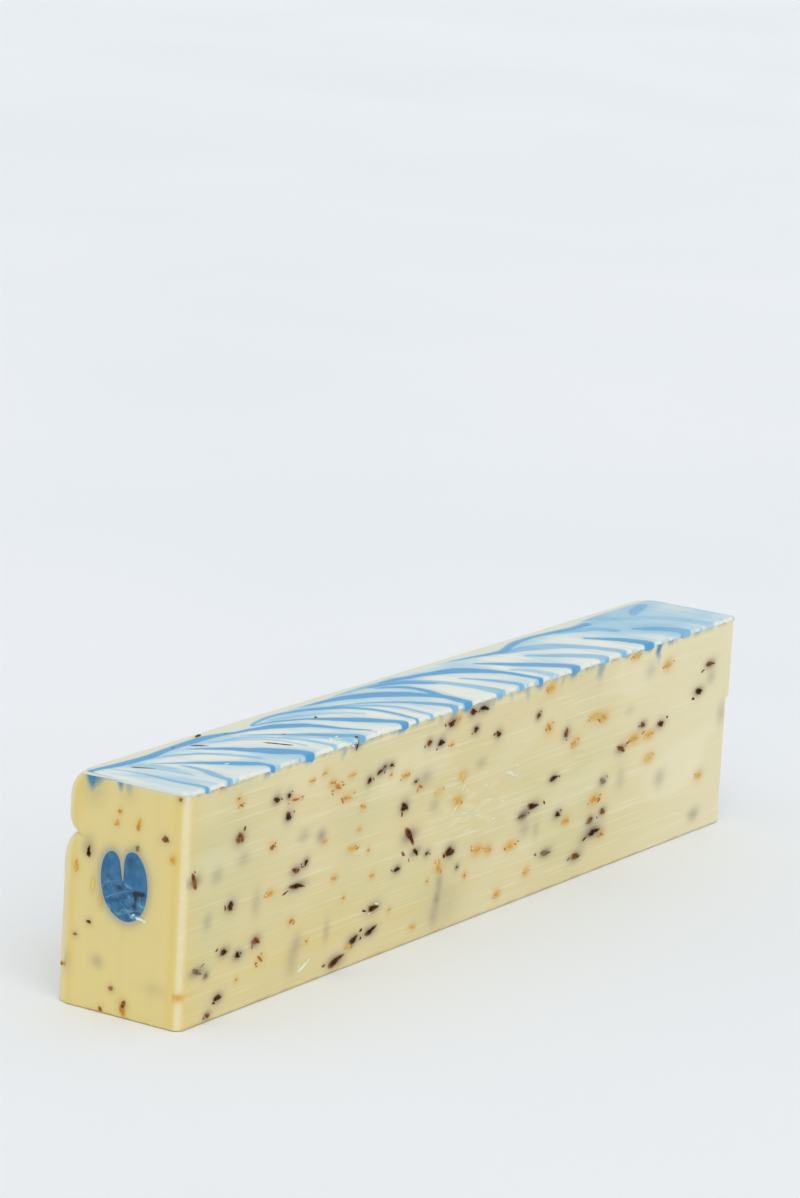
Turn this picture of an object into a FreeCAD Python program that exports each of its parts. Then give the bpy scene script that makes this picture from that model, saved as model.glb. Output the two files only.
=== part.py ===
import FreeCAD, Part
import math
import os

import Sketcher

# A loaf of hand-poured soap before it is sliced into bars, in millimetres.
# It stands on its base with +Z up, and the origin is the middle of the base. The length runs along Y:
# the cut end that shows the heart is at -Y, and the side that was planed flat is at +X.

SIZES = [
    ("loaf_length", 332, "cut end to far end"),
    ("loaf_width", 50, "left side of the first pour to the planed side"),
    ("loaf_height", 76, "base to top"),
    ("joint_height", 55, "base to the groove where the second pour met the first"),
    ("joint_depth", 4.4, "how far the groove runs in from the left side"),
    ("shoulder_rise", 10, "height over which the first pour rounds into the groove"),
    ("lobe_rise", 6, "height over which the second pour rounds out of the groove"),
    ("upper_setback", 1.5, "how far the second pour stands back from the first, on the left"),
    ("top_rounding", 9.5, "radius along the upper left edge"),
    ("corner_rounding", 7.5, "radius of the upright left edge at the cut end"),
    ("corner_flat", 2, "flat on the upright right edge at the cut end"),
    ("ledge_height", 46.5, "base to the ledge across the far end"),
    ("ledge_step", 2, "how far the far end stands out above the ledge"),
    ("heart_width", 17.8, "widest part of the heart rod"),
    ("heart_tall", 22.4, "tip to the top of the lobes"),
    ("heart_offset", 2.6, "middle of the rod, right of the middle of the loaf"),
    ("heart_foot", 30.8, "base of the loaf to the tip of the heart"),
    ("heart_cleft", 9.4, "top of the lobes down to the cleft"),
    ("lobe_radius", 3.7, "radius over each lobe"),
    ("lobe_spacing", 8.6, "between the middles of the two lobes"),
    ("tip_radius", 6.6, "radius under the heart"),
    ("cream_border", 11.5, "bare cream strip on top, left of the swirled pour"),
    ("swirl_depth", 2, "thickness of the swirled pour"),
    ("streak_margin", 1.5, "swirled pour's left edge to the tips of the streaks"),
    ("streak_tip", 0.7, "width of a streak where it starts"),
    ("drip_depth", 1, "how deep the blue drips reach into the cream"),
    ("bud_depth", 1.2, "how deep a cut bud or fleck sits in the face"),
]

# Every cutting shape starts this far outside the face that it is cut into.
PROUD = 1.0

# The second pour's left side keeps at least this much upright face below the upper left rounding.
LEAST_UPRIGHT = 0.5

# Straight runs in each curved edge of a streak.
ELLIPSE_STEPS = 9

# Blue streaks of the swirled pour, from the cut end to the far end. Each starts along the left border and
# sweeps round to the planed side: where it starts and where it ends, in per cent of the length, its width
# at the planed side, and how far it dripped down that side.
STREAKS = [
    (-2.4, 3.6, 3.0, 2.5),
    (1.2, 6.6, 2.6, 1.5),
    (3.4, 11.4, 4.4, 3.0),
    (6.0, 17.2, 8.0, 3.5),
    (12.0, 23.0, 2.4, 1.5),
    (15.0, 26.4, 4.4, 5.0),
    (18.0, 29.6, 2.6, 2.0),
    (21.6, 33.6, 6.0, 4.0),
    (26.0, 37.4, 2.8, 2.0),
    (30.0, 40.0, 2.4, 1.5),
    (32.6, 43.4, 4.0, 2.5),
    (35.6, 45.8, 6.6, 3.0),
    (41.0, 52.0, 4.6, 2.5),
    (45.8, 56.6, 3.0, 5.0),
    (48.8, 59.6, 4.2, 2.0),
    (54.2, 65.4, 6.0, 3.5),
    (60.2, 71.4, 4.0, 7.0),
    (65.6, 76.4, 4.4, 2.0),
    (70.4, 80.8, 5.0, 3.0),
    (75.4, 84.0, 6.0, 8.0),
    (80.0, 89.6, 5.0, 3.0),
    (85.4, 94.4, 6.0, 2.5),
    (90.6, 101.0, 6.0, 0.0),
]

# Blue drips down the cut end: place across the end in per cent, width at the top, length.
END_DRIPS = [(28.0, 6.0, 6.5), (48.0, 2.6, 2.8)]

# Cut buds and flecks: place along and up the face in per cent, length, width, and the turn of the
# length from the face's own direction in degrees.
BUDS_PLANED_SIDE = [
    (1.5, 62.0, 5.5, 2.5, -65), (8.6, 74.0, 5.0, 3.4, -50), (14.3, 85.0, 3.6, 2.1, -10),
    (16.4, 85.0, 2.4, 1.5, -30), (16.4, 76.0, 3.5, 2.8, 0), (22.1, 62.5, 3.2, 2.4, 0),
    (7.5, 46.0, 4.0, 2.8, -35), (18.0, 51.5, 4.6, 2.0, -8), (19.8, 53.5, 2.5, 1.9, 20),
    (18.4, 44.3, 9.0, 1.8, -13), (30.0, 79.6, 2.6, 2.2, -20), (31.8, 82.0, 3.2, 1.4, 15),
    (6.8, 27.2, 4.6, 2.0, 8), (9.0, 23.7, 3.6, 1.8, -20), (2.7, 23.0, 6.5, 1.5, -22),
    (11.9, 27.0, 5.0, 3.0, -30), (6.1, 8.6, 4.0, 2.2, 0), (25.6, 5.2, 8.4, 3.0, 10),
    (28.6, 11.2, 6.0, 2.2, 10), (31.5, 12.1, 6.6, 2.2, 12), (31.8, 22.0, 6.5, 2.2, -10),
    (40.4, 87.5, 3.2, 2.0, -10), (42.5, 85.8, 4.6, 2.2, -15), (44.3, 91.0, 5.2, 2.2, 5),
    (48.0, 92.5, 4.0, 2.2, -10), (50.2, 92.0, 6.0, 2.0, -15), (48.8, 86.4, 3.4, 2.0, -10),
    (53.1, 80.9, 3.3, 2.0, -5), (36.4, 62.5, 5.0, 3.2, -40), (37.7, 48.7, 8.0, 3.2, -52),
    (38.9, 40.4, 5.0, 1.5, -35), (35.7, 35.5, 3.6, 1.8, 0), (45.2, 34.6, 5.6, 3.6, -10),
    (43.5, 21.0, 4.0, 2.6, 60), (60.5, 41.7, 8.0, 2.1, 0), (58.6, 37.4, 5.0, 1.5, 0),
    (64.3, 51.3, 5.0, 2.0, 0), (66.3, 70.4, 4.0, 3.0, -60), (65.5, 33.6, 4.0, 2.0, -10),
    (63.6, 17.4, 7.0, 2.0, -3), (60.6, 83.0, 2.8, 2.0, -10), (77.6, 54.0, 5.0, 2.4, -25),
    (74.5, 27.0, 4.0, 2.0, -10), (72.9, 18.7, 8.0, 2.5, 0), (69.6, 10.3, 7.0, 2.2, 0),
    (85.5, 60.2, 5.0, 2.0, -15), (95.3, 80.3, 6.0, 2.0, -8), (93.2, 68.7, 6.0, 2.3, -20),
    (86.0, 32.9, 6.0, 3.0, -45), (93.8, 8.6, 6.0, 2.6, -20), (82.8, 84.0, 5.0, 3.0, 0),
]
FLECKS_PLANED_SIDE = [
    (8.6, 87.5, 2.4, 1.5, -20), (18.0, 81.2, 5.5, 1.2, 0), (14.0, 45.4, 4.0, 1.8, 0),
    (24.5, 81.6, 5.0, 2.4, -15), (26.2, 75.3, 6.0, 1.8, -10), (27.6, 52.0, 4.6, 1.8, -8),
    (12.8, 18.4, 3.6, 2.0, -35), (17.6, 29.9, 3.0, 1.6, 30), (27.9, 7.2, 3.8, 1.5, 0),
    (24.7, 41.7, 2.6, 1.3, 20), (36.4, 76.3, 4.0, 1.8, -10), (39.2, 69.0, 3.0, 1.9, -25),
    (42.6, 64.0, 5.0, 1.1, -15), (46.2, 56.6, 4.8, 2.4, 15), (46.8, 67.1, 3.6, 2.2, 60),
    (43.2, 29.6, 5.0, 3.0, 60), (50.3, 30.9, 5.0, 2.4, 10), (56.6, 27.0, 6.0, 2.4, 0),
    (62.8, 92.0, 4.2, 2.4, -10), (62.8, 75.9, 4.0, 2.6, -30), (73.6, 71.7, 5.0, 2.0, -12),
    (68.1, 64.5, 4.0, 2.4, -20), (72.7, 34.2, 6.0, 3.0, 0), (80.4, 57.0, 9.0, 2.6, -8),
    (83.3, 55.2, 4.4, 2.0, -10), (83.4, 44.7, 5.0, 2.0, -5), (86.3, 84.0, 5.0, 2.6, -10),
]
BUDS_CUT_END = [
    (26.4, 66.2, 3.6, 2.0, 80), (84.0, 78.8, 2.6, 2.1, -20), (28.6, 36.8, 1.8, 1.5, 0),
    (18.4, 30.3, 1.6, 1.3, 0), (47.4, 11.2, 2.0, 1.7, 0), (36.0, 21.0, 3.0, 2.4, 0),
]
FLECKS_CUT_END = [
    (57.0, 5.5, 4.4, 2.6, 80), (63.6, 82.2, 4.0, 1.8, 70), (90.0, 71.0, 3.0, 2.4, 0),
    (17.4, 59.2, 4.5, 2.0, 80), (47.0, 81.0, 3.0, 1.8, 60), (30.4, 52.6, 5.0, 1.0, 88),
]
BUDS_TOP = [
    (17.5, 21.8, 3.0, 1.6, 20), (14.3, 37.8, 3.6, 2.4, -20), (3.9, 43.8, 3.4, 2.4, 45),
    (20.4, 71.8, 4.4, 3.0, 50), (22.4, 71.8, 2.0, 1.6, 0),
]

doc = FreeCAD.newDocument("soap_loaf")
sheet = doc.addObject("Spreadsheet::Sheet", "sizes")
for row, (alias, millimetres, meaning) in enumerate(SIZES, start=1):
    sheet.set(f"A{row}", meaning)
    sheet.set(f"B{row}", str(millimetres))
    sheet.setAlias(f"B{row}", alias)
doc.recompute()


def size(alias):
    """A driving size from the sheet, in millimetres."""
    return float(getattr(sheet, alias))


def point(x, y=0.0, z=0.0):
    return FreeCAD.Vector(x, y, z)


def new_sketch(body, name, role):
    """An empty sketch on one of the body's own origin planes."""
    sketch = body.newObject("Sketcher::SketchObject", name)
    planes = [feature for feature in body.Origin.OriginFeatures if feature.Role == role]
    sketch.AttachmentSupport = (planes[0], [""])
    sketch.MapMode = "FlatFace"
    return sketch


def drive(sketch, expression, drawn, *constraint):
    """Add a dimension to the sketch, at the length it is drawn with, and bind it to the sheet."""
    index = sketch.addConstraint(Sketcher.Constraint(*constraint, drawn))
    sketch.setExpression(f"Constraints[{index}]", expression)


def hold(sketch, *constraint):
    sketch.addConstraint(Sketcher.Constraint(*constraint))


def line(x1, y1, x2, y2):
    return Part.LineSegment(point(x1, y1), point(x2, y2))


def arc(x, y, radius, first, last):
    """An arc of a circle, anticlockwise between two angles in radians."""
    return Part.ArcOfCircle(Part.Circle(point(x, y), point(0, 0, 1), radius), first, last)


START = 1
END = 2
ORIGIN = (-1, 1)
UPRIGHT_AXIS = -2


def draw_mould_profile(body):
    """Section of the cast loaf: square on the planed side, two rounded pours with a groove on the left."""
    half = size("loaf_width") / 2
    tall = size("loaf_height")
    joint = size("joint_height")
    groove = size("joint_depth")
    setback = size("upper_setback")
    shoulder = size("shoulder_rise")
    lobe = size("lobe_rise")
    rounding = min(size("top_rounding"), tall - joint - lobe - LEAST_UPRIGHT)
    wall = f"sizes.loaf_height - sizes.joint_height - sizes.lobe_rise - {LEAST_UPRIGHT}"
    notch = groove - setback
    shoulder_radius = (groove**2 + shoulder**2) / (2 * groove)
    lobe_radius = (notch**2 + lobe**2) / (2 * notch)
    shoulder_angle = math.atan2(shoulder, shoulder_radius - groove)
    lobe_angle = math.atan2(lobe, lobe_radius - notch)
    upper_x = setback - half

    sketch = new_sketch(body, "mould_profile", "XZ_Plane")
    base, planed, top, round_edge, upper_side, lobe_arc, shoulder_arc, lower_side = range(8)
    sketch.addGeometry([
        line(-half, 0, half, 0),
        line(half, 0, half, tall),
        line(half, tall, upper_x + rounding, tall),
        arc(upper_x + rounding, tall - rounding, rounding, math.pi / 2, math.pi),
        line(upper_x, tall - rounding, upper_x, joint + lobe),
        arc(upper_x + lobe_radius, joint + lobe, lobe_radius, math.pi, math.pi + lobe_angle),
        arc(shoulder_radius - half, joint - shoulder, shoulder_radius, math.pi - shoulder_angle, math.pi),
        line(-half, joint - shoulder, -half, 0),
    ], False)
    for first, second in [(base, planed), (planed, top), (lobe_arc, shoulder_arc), (lower_side, base)]:
        hold(sketch, "Coincident", first, END, second, START)
    for first, second in [(top, round_edge), (round_edge, upper_side), (upper_side, lobe_arc),
                          (shoulder_arc, lower_side)]:
        hold(sketch, "Tangent", first, END, second, START)
    for level in (base, top):
        hold(sketch, "Horizontal", level)
    for upright in (planed, upper_side, lower_side):
        hold(sketch, "Vertical", upright)
    hold(sketch, "Symmetric", base, START, base, END, *ORIGIN)
    drive(sketch, "sizes.loaf_width", 2 * half, "DistanceX", base, START, base, END)
    drive(sketch, "sizes.loaf_height", tall, "DistanceY", planed, START, planed, END)
    drive(sketch, f"min(sizes.top_rounding; {wall})", rounding, "Radius", round_edge)
    drive(sketch, "sizes.upper_setback", setback, "DistanceX", base, START, upper_side, END)
    drive(sketch, "sizes.joint_height", joint, "DistanceY", *ORIGIN, shoulder_arc, START)
    drive(sketch, "sizes.joint_depth", groove, "DistanceX", base, START, shoulder_arc, START)
    drive(sketch, "sizes.shoulder_rise", shoulder, "DistanceY", lower_side, START, shoulder_arc, START)
    drive(sketch, "sizes.lobe_rise", lobe, "DistanceY", shoulder_arc, START, upper_side, END)
    return sketch


def draw_corner(body):
    """Plan of what the rounded mould corner leaves off the upright left edge at the cut end."""
    corner_x = -size("loaf_width") / 2
    corner_y = -size("loaf_length") / 2
    radius = size("corner_rounding")
    sketch = new_sketch(body, "corner_plan", "XY_Plane")
    along_end, along_side, rounding = range(3)
    sketch.addGeometry([
        line(corner_x + radius, corner_y, corner_x, corner_y),
        line(corner_x, corner_y, corner_x, corner_y + radius),
        arc(corner_x + radius, corner_y + radius, radius, math.pi, 1.5 * math.pi),
    ], False)
    hold(sketch, "Coincident", along_end, END, along_side, START)
    hold(sketch, "Tangent", along_side, END, rounding, START)
    hold(sketch, "Tangent", rounding, END, along_end, START)
    hold(sketch, "Horizontal", along_end)
    hold(sketch, "Vertical", along_side)
    drive(sketch, "sizes.corner_rounding", radius, "Radius", rounding)
    drive(sketch, "sizes.loaf_width / 2", -corner_x, "DistanceX", along_side, START, *ORIGIN)
    drive(sketch, "sizes.loaf_length / 2", -corner_y, "DistanceY", along_side, START, *ORIGIN)
    return sketch


def draw_ledge(body):
    """Side view of what the far end lacks below its ledge."""
    end_y = size("loaf_length") / 2
    step = size("ledge_step")
    ledge = size("ledge_height")
    sketch = new_sketch(body, "ledge_side", "YZ_Plane")
    foot, face, under, back = range(4)
    sketch.addGeometry([
        line(end_y - step, 0, end_y, 0),
        line(end_y, 0, end_y, ledge),
        line(end_y, ledge, end_y - step, ledge),
        line(end_y - step, ledge, end_y - step, 0),
    ], False)
    for first, second in [(foot, face), (face, under), (under, back), (back, foot)]:
        hold(sketch, "Coincident", first, END, second, START)
    for level in (foot, under):
        hold(sketch, "Horizontal", level)
    for upright in (face, back):
        hold(sketch, "Vertical", upright)
    hold(sketch, "PointOnObject", foot, END, -1)
    drive(sketch, "sizes.loaf_length / 2", end_y, "DistanceX", *ORIGIN, foot, END)
    drive(sketch, "sizes.ledge_step", step, "DistanceX", foot, START, foot, END)
    drive(sketch, "sizes.ledge_height", ledge, "DistanceY", face, START, face, END)
    return sketch


def cut_through(body, name, sketch):
    """Pocket the sketch through the body both ways, and make sure that it took something off."""
    before = body.Shape.Volume
    pocket = body.newObject("PartDesign::Pocket", name)
    pocket.Profile = sketch
    pocket.Type = "ThroughAll"
    pocket.SideType = "Symmetric"
    doc.recompute()
    if body.Shape.Volume >= before:
        raise RuntimeError(f"{name} cuts nothing")


def build_cast_form():
    """Outer form of the whole loaf, as it left the mould and the plane."""
    body = doc.addObject("PartDesign::Body", "cast_form")
    profile = draw_mould_profile(body)
    pad = body.newObject("PartDesign::Pad", "loaf_pad")
    pad.Profile = profile
    pad.SideType = "Symmetric"
    pad.setExpression("Length", "sizes.loaf_length")
    doc.recompute()
    cut_through(body, "corner_cut", draw_corner(body))
    cut_through(body, "ledge_cut", draw_ledge(body))

    corner = point(size("loaf_width") / 2, -size("loaf_length") / 2)
    edge_names = []
    for number, edge in enumerate(body.Shape.Edges, start=1):
        at_corner = [math.hypot(v.X - corner.x, v.Y - corner.y) < 1e-6 for v in edge.Vertexes]
        if all(at_corner):
            edge_names.append(f"Edge{number}")
    ledge_cut = body.Tip
    flat = body.newObject("PartDesign::Chamfer", "corner_flat")
    flat.Base = (ledge_cut, edge_names)
    flat.setExpression("Size", "sizes.corner_flat")
    doc.recompute()
    return body


def draw_heart(body):
    """Heart of tangent arcs about the sketch's upright axis, with the tip at its origin."""
    half = size("heart_width") / 2
    tall = size("heart_tall")
    lobe_radius = size("lobe_radius")
    lobe_x = size("lobe_spacing") / 2
    lobe_y = tall - lobe_radius
    tip_radius = size("tip_radius")
    cleft_y = tall - size("heart_cleft")
    # The long side arc touches the widest line, the lobe and the tip: this is a first guess at its radius,
    # and the sketch's constraints settle it.
    side_radius = 0.83 * tall
    side_y = tip_radius + math.sqrt((half - tip_radius) * (2 * side_radius - half - tip_radius))
    to_tip = math.atan2(side_y - tip_radius, side_radius - half)
    to_lobe = math.atan2(lobe_y - side_y, side_radius - half + lobe_x)
    inner = math.radians(12)

    sketch = new_sketch(body, "heart_section", "XZ_Plane")
    sketch.setExpression("AttachmentOffset.Base.x", "sizes.heart_offset")
    sketch.setExpression("AttachmentOffset.Base.y", "sizes.heart_foot")
    tip, right_side, right_lobe, right_cleft, left_cleft, left_lobe, left_side, widest = range(8)
    sketch.addGeometry([
        arc(0, tip_radius, tip_radius, math.pi + to_tip, 2 * math.pi - to_tip),
        arc(half - side_radius, side_y, side_radius, -to_tip, to_lobe),
        arc(lobe_x, lobe_y, lobe_radius, to_lobe, math.pi + inner),
        line(lobe_x - lobe_radius, lobe_y - 1, 0, cleft_y),
        line(0, cleft_y, lobe_radius - lobe_x, lobe_y - 1),
        arc(-lobe_x, lobe_y, lobe_radius, -inner, math.pi - to_lobe),
        arc(side_radius - half, side_y, side_radius, math.pi - to_lobe, math.pi + to_tip),
    ], False)
    sketch.addGeometry(line(half, 0, half, tall), True)
    for first, second in [(tip, right_side), (right_side, right_lobe), (right_lobe, right_cleft),
                          (left_cleft, left_lobe), (left_lobe, left_side), (left_side, tip)]:
        hold(sketch, "Tangent", first, END, second, START)
    hold(sketch, "Coincident", right_cleft, END, left_cleft, START)
    hold(sketch, "Vertical", widest)
    hold(sketch, "Tangent", widest, right_side)
    hold(sketch, "PointOnObject", widest, START, -1)
    hold(sketch, "PointOnObject", right_cleft, END, UPRIGHT_AXIS)
    hold(sketch, "PointOnObject", tip, 3, UPRIGHT_AXIS)
    hold(sketch, "Symmetric", right_lobe, 3, left_lobe, 3, UPRIGHT_AXIS)
    hold(sketch, "Equal", right_lobe, left_lobe)
    hold(sketch, "Equal", right_side, left_side)
    drive(sketch, "sizes.tip_radius", tip_radius, "Radius", tip)
    drive(sketch, "sizes.tip_radius", tip_radius, "DistanceY", *ORIGIN, tip, 3)
    drive(sketch, "sizes.lobe_radius", lobe_radius, "Radius", right_lobe)
    drive(sketch, "sizes.lobe_spacing", 2 * lobe_x, "DistanceX", left_lobe, 3, right_lobe, 3)
    drive(sketch, "sizes.heart_tall - sizes.lobe_radius", lobe_y, "DistanceY", *ORIGIN, right_lobe, 3)
    drive(sketch, "sizes.heart_tall - sizes.heart_cleft", cleft_y, "DistanceY", *ORIGIN, right_cleft, END)
    drive(sketch, "sizes.heart_width / 2", half, "DistanceX", *ORIGIN, widest, START)
    drive(sketch, "sizes.heart_tall", tall, "DistanceY", widest, START, widest, END)
    return sketch


def build_heart_rod():
    """Rod of blue soap, as long as the loaf, that was laid in the first pour."""
    body = doc.addObject("PartDesign::Body", "heart_rod")
    pad = body.newObject("PartDesign::Pad", "rod_pad")
    pad.Profile = draw_heart(body)
    pad.SideType = "Symmetric"
    pad.setExpression("Length", "sizes.loaf_length")
    doc.recompute()
    return body


def build_swirl_slab():
    """The thin pour on top, before the ends trim it."""
    slab = doc.addObject("Part::Box", "swirl_slab")
    slab.setExpression("Length", "sizes.loaf_width - sizes.cream_border")
    slab.setExpression("Width", "sizes.loaf_length")
    slab.setExpression("Height", "sizes.swirl_depth")
    slab.setExpression("Placement.Base.x", "sizes.cream_border - sizes.loaf_width / 2")
    slab.setExpression("Placement.Base.y", "-sizes.loaf_length / 2")
    slab.setExpression("Placement.Base.z", "sizes.loaf_height - sizes.swirl_depth")
    return slab


class Face:
    """A flat face of the loaf: a corner, two directions along it, the way out of it, and its extent."""

    def __init__(self, corner, along, up, wide, tall):
        self.corner = corner
        self.along = along
        self.up = up
        self.out = along.cross(up)
        self.wide = wide
        self.tall = tall

    def at(self, along, up, out=0.0):
        """The point at two distances along the face and one out of it."""
        return self.corner + self.along * along + self.up * up + self.out * out

    def inlay(self, outline, depth):
        """Prism through an outline on the face, from just outside it down to a depth."""
        corners = [self.at(along, up, PROUD) for along, up in outline]
        face = Part.Face(Part.makePolygon(corners + corners[:1]))
        return face.extrude(self.out * -(depth + PROUD))


def loaf_faces():
    """The flat faces that buds were cut through, by name."""
    half = size("loaf_width") / 2
    end = size("loaf_length") / 2
    length = size("loaf_length")
    width = size("loaf_width")
    top = size("loaf_height")
    ledge = size("ledge_height")
    east = point(1, 0)
    north = point(0, 1)
    upward = point(0, 0, 1)
    return {
        "planed_side": Face(point(half, -end), north, upward, length, top),
        "cut_end": Face(point(-half, -end), east, upward, width, top),
        "top": Face(point(half, -end, top), north, east * -1, length, width),
        "left_side": Face(point(-half, end), north * -1, upward, length,
                          size("joint_height") - size("shoulder_rise")),
        "far_foot": Face(point(half, end - size("ledge_step")), east * -1, upward, width, ledge),
        "far_head": Face(point(half, end, ledge), east * -1, upward, width, top - ledge),
    }


def bud_outline(face, along, up, long, wide, turn):
    """Six-sided spindle, fuller towards its stalk end, at a place in per cent of the face."""
    middle_along = face.wide * along / 100
    middle_up = face.tall * up / 100
    cosine = math.cos(math.radians(turn))
    sine = math.sin(math.radians(turn))
    spindle = [(0.5, 0.0), (0.18, 0.46), (-0.26, 0.5), (-0.5, 0.0), (-0.22, -0.5), (0.24, -0.42)]
    outline = []
    for share_long, share_wide in spindle:
        forward = share_long * long
        aside = share_wide * wide
        outline.append((middle_along + forward * cosine - aside * sine,
                        middle_up + forward * sine + aside * cosine))
    return outline


def scattered(count, first, long, wide):
    """Even scatter over a hidden face: places step by the golden ratio and by the plastic number."""
    golden = 0.618034
    plastic = 0.754878
    places = []
    for number in range(count):
        along = 5 + 90 * ((first + number * golden) % 1)
        up = 10 + 78 * ((first + number * plastic) % 1)
        swell = 0.8 + 0.45 * ((number * golden * plastic) % 1)
        places.append((along, up, long * swell, wide * swell, number * 137.5))
    return places


def inlay_prisms(places_by_face):
    """All the cut pieces of one kind, as separate prisms in one shape."""
    faces = loaf_faces()
    depth = size("bud_depth")
    prisms = []
    for face_name, places in places_by_face.items():
        face = faces[face_name]
        for place in places:
            prisms.append(face.inlay(bud_outline(face, *place), depth))
    return prisms[0].fuse(prisms[1:])


def quarter_ellipse(centre, reach, advance):
    """Points on a quarter of an ellipse, from straight beside its centre, at -X, to straight ahead of it."""
    quarter = math.pi / 2
    turns = [quarter * step / ELLIPSE_STEPS for step in range(ELLIPSE_STEPS + 1)]
    return [centre + point(-reach * math.cos(turn), advance * math.sin(turn)) for turn in turns]


def streak_prism(start, end, wide):
    """One blue streak: a crescent between two quarter ellipses, blunt where it starts at the left border."""
    length = size("loaf_length")
    top = size("loaf_height") + PROUD
    tip_y = length * (start / 100 - 0.5)
    advance = length * (end - start) / 100
    reach = size("loaf_width") - size("cream_border") - size("streak_margin")
    centre = point(size("loaf_width") / 2, tip_y, top)
    back = quarter_ellipse(centre, reach - size("streak_tip"), advance)
    front = quarter_ellipse(centre, reach, advance + wide)
    crescent = Part.Face(Part.makePolygon(back + front[::-1] + back[:1]))
    return crescent.extrude(point(0, 0, -(size("swirl_depth") + PROUD)))


def drip_prism(face, along, wide, long):
    """A drip down a side: straight, then narrowed to a blunt end."""
    top = face.tall + PROUD
    foot = face.tall - size("swirl_depth") - long
    neck = foot + 0.45 * (face.tall - foot)
    outline = [
        (along - 0.5 * wide, top),
        (along - 0.42 * wide, neck),
        (along - 0.16 * wide, foot),
        (along + 0.16 * wide, foot),
        (along + 0.42 * wide, neck),
        (along + 0.5 * wide, top),
    ]
    return face.inlay(outline, size("drip_depth"))


def streak_prisms():
    """The blue soap drawn through the top, with its drips, in one shape."""
    faces = loaf_faces()
    side = faces["planed_side"]
    end_face = faces["cut_end"]
    prisms = []
    for start, end, wide, drip in STREAKS:
        prisms.append(streak_prism(start, end, wide))
        if drip > 0:
            prisms.append(drip_prism(side, side.wide * end / 100 + wide / 2, wide, drip))
    for across, wide, drip in END_DRIPS:
        prisms.append(drip_prism(end_face, end_face.wide * across / 100, wide, drip))
    return prisms[0].fuse(prisms[1:])


def build_trimmed(name, shape, form, others):
    """Pieces trimmed flush with the loaf's outer form, less the other pieces that they were cut around."""
    feature = doc.addObject("Part::Feature", name)
    feature.Shape = shape.common(form.Shape).cut([other.Shape for other in others])
    return feature


def keep_inside(name, shape, form):
    """What of a shape lies within a form."""
    common = doc.addObject("Part::Common", name)
    common.Base = shape
    common.Tool = form
    return common


def cut_by(name, shape, tools):
    """A shape less each of the tools, whose last cut carries the name."""
    for number, tool in enumerate(tools, start=1):
        is_last = number == len(tools)
        cut = doc.addObject("Part::Cut", name if is_last else f"{name}_less_{tool.Name}")
        cut.Base = shape
        cut.Tool = tool
        shape = cut
    return shape


cast_form = build_cast_form()
heart_rod = build_heart_rod()
swirl_slab = build_swirl_slab()
lavender_buds = build_trimmed("lavender_buds", inlay_prisms({
    "planed_side": BUDS_PLANED_SIDE,
    "cut_end": BUDS_CUT_END,
    "top": BUDS_TOP,
    "left_side": scattered(12, 0.31, 4.6, 2.1),
    "far_foot": scattered(3, 0.2, 4.2, 2.1),
    "far_head": scattered(1, 0.6, 4.2, 2.1),
}), cast_form, [heart_rod])
petal_flecks = build_trimmed("petal_flecks", inlay_prisms({
    "planed_side": FLECKS_PLANED_SIDE,
    "cut_end": FLECKS_CUT_END,
    "left_side": scattered(6, 0.77, 4.2, 1.9),
    "far_foot": scattered(1, 0.9, 3.8, 1.8),
}), cast_form, [heart_rod, lavender_buds])
swirl_veins = build_trimmed("swirl_veins", streak_prisms(), cast_form, [lavender_buds, petal_flecks])
inlays = doc.addObject("Part::Compound", "inlays")
inlays.Links = [lavender_buds, petal_flecks]
heart_core = keep_inside("heart_core", heart_rod, cast_form)
swirl_pour = keep_inside("swirl_pour", swirl_slab, cast_form)
swirl_white = cut_by("swirl_white", swirl_pour, [swirl_veins, inlays])
soap_loaf = cut_by("loaf_body", cast_form, [heart_rod, swirl_pour, swirl_veins, inlays])
soap_loaf.Label = "soap_loaf"

SUB_PARTS = [soap_loaf, heart_core, swirl_white, swirl_veins, lavender_buds, petal_flecks]

doc.recompute()
for thing in doc.Objects:
    if "Invalid" in thing.State or "Error" in thing.State:
        raise RuntimeError(f"{thing.Name} did not build: {thing.State}")
for sub_part in SUB_PARTS:
    if sub_part.Shape.isNull() or not sub_part.Shape.isValid():
        raise RuntimeError(f"{sub_part.Label} has no valid shape")

os.makedirs("parts", exist_ok=True)
for sub_part in SUB_PARTS:
    sub_part.Shape.exportStep(f"parts/{sub_part.Label}.step")
    print(sub_part.Label, len(sub_part.Shape.Solids), "solids", round(sub_part.Shape.Volume), "mm3")
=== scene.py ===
import math

import bpy
import numpy as np
from mathutils import Matrix, Vector


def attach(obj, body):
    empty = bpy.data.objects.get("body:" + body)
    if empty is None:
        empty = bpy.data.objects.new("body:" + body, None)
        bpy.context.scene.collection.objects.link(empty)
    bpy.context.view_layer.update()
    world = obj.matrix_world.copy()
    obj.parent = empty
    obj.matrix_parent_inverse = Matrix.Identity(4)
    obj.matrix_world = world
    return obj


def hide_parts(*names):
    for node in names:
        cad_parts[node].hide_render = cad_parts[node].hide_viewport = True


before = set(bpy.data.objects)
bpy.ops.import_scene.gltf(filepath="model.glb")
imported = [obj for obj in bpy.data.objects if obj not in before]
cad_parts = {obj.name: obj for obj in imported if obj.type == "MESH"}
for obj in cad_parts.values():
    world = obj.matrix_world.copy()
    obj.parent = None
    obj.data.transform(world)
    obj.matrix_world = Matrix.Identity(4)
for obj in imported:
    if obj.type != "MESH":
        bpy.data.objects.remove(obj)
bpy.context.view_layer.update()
scene = bpy.context.scene
scene.view_settings.view_transform = "Standard"

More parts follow.
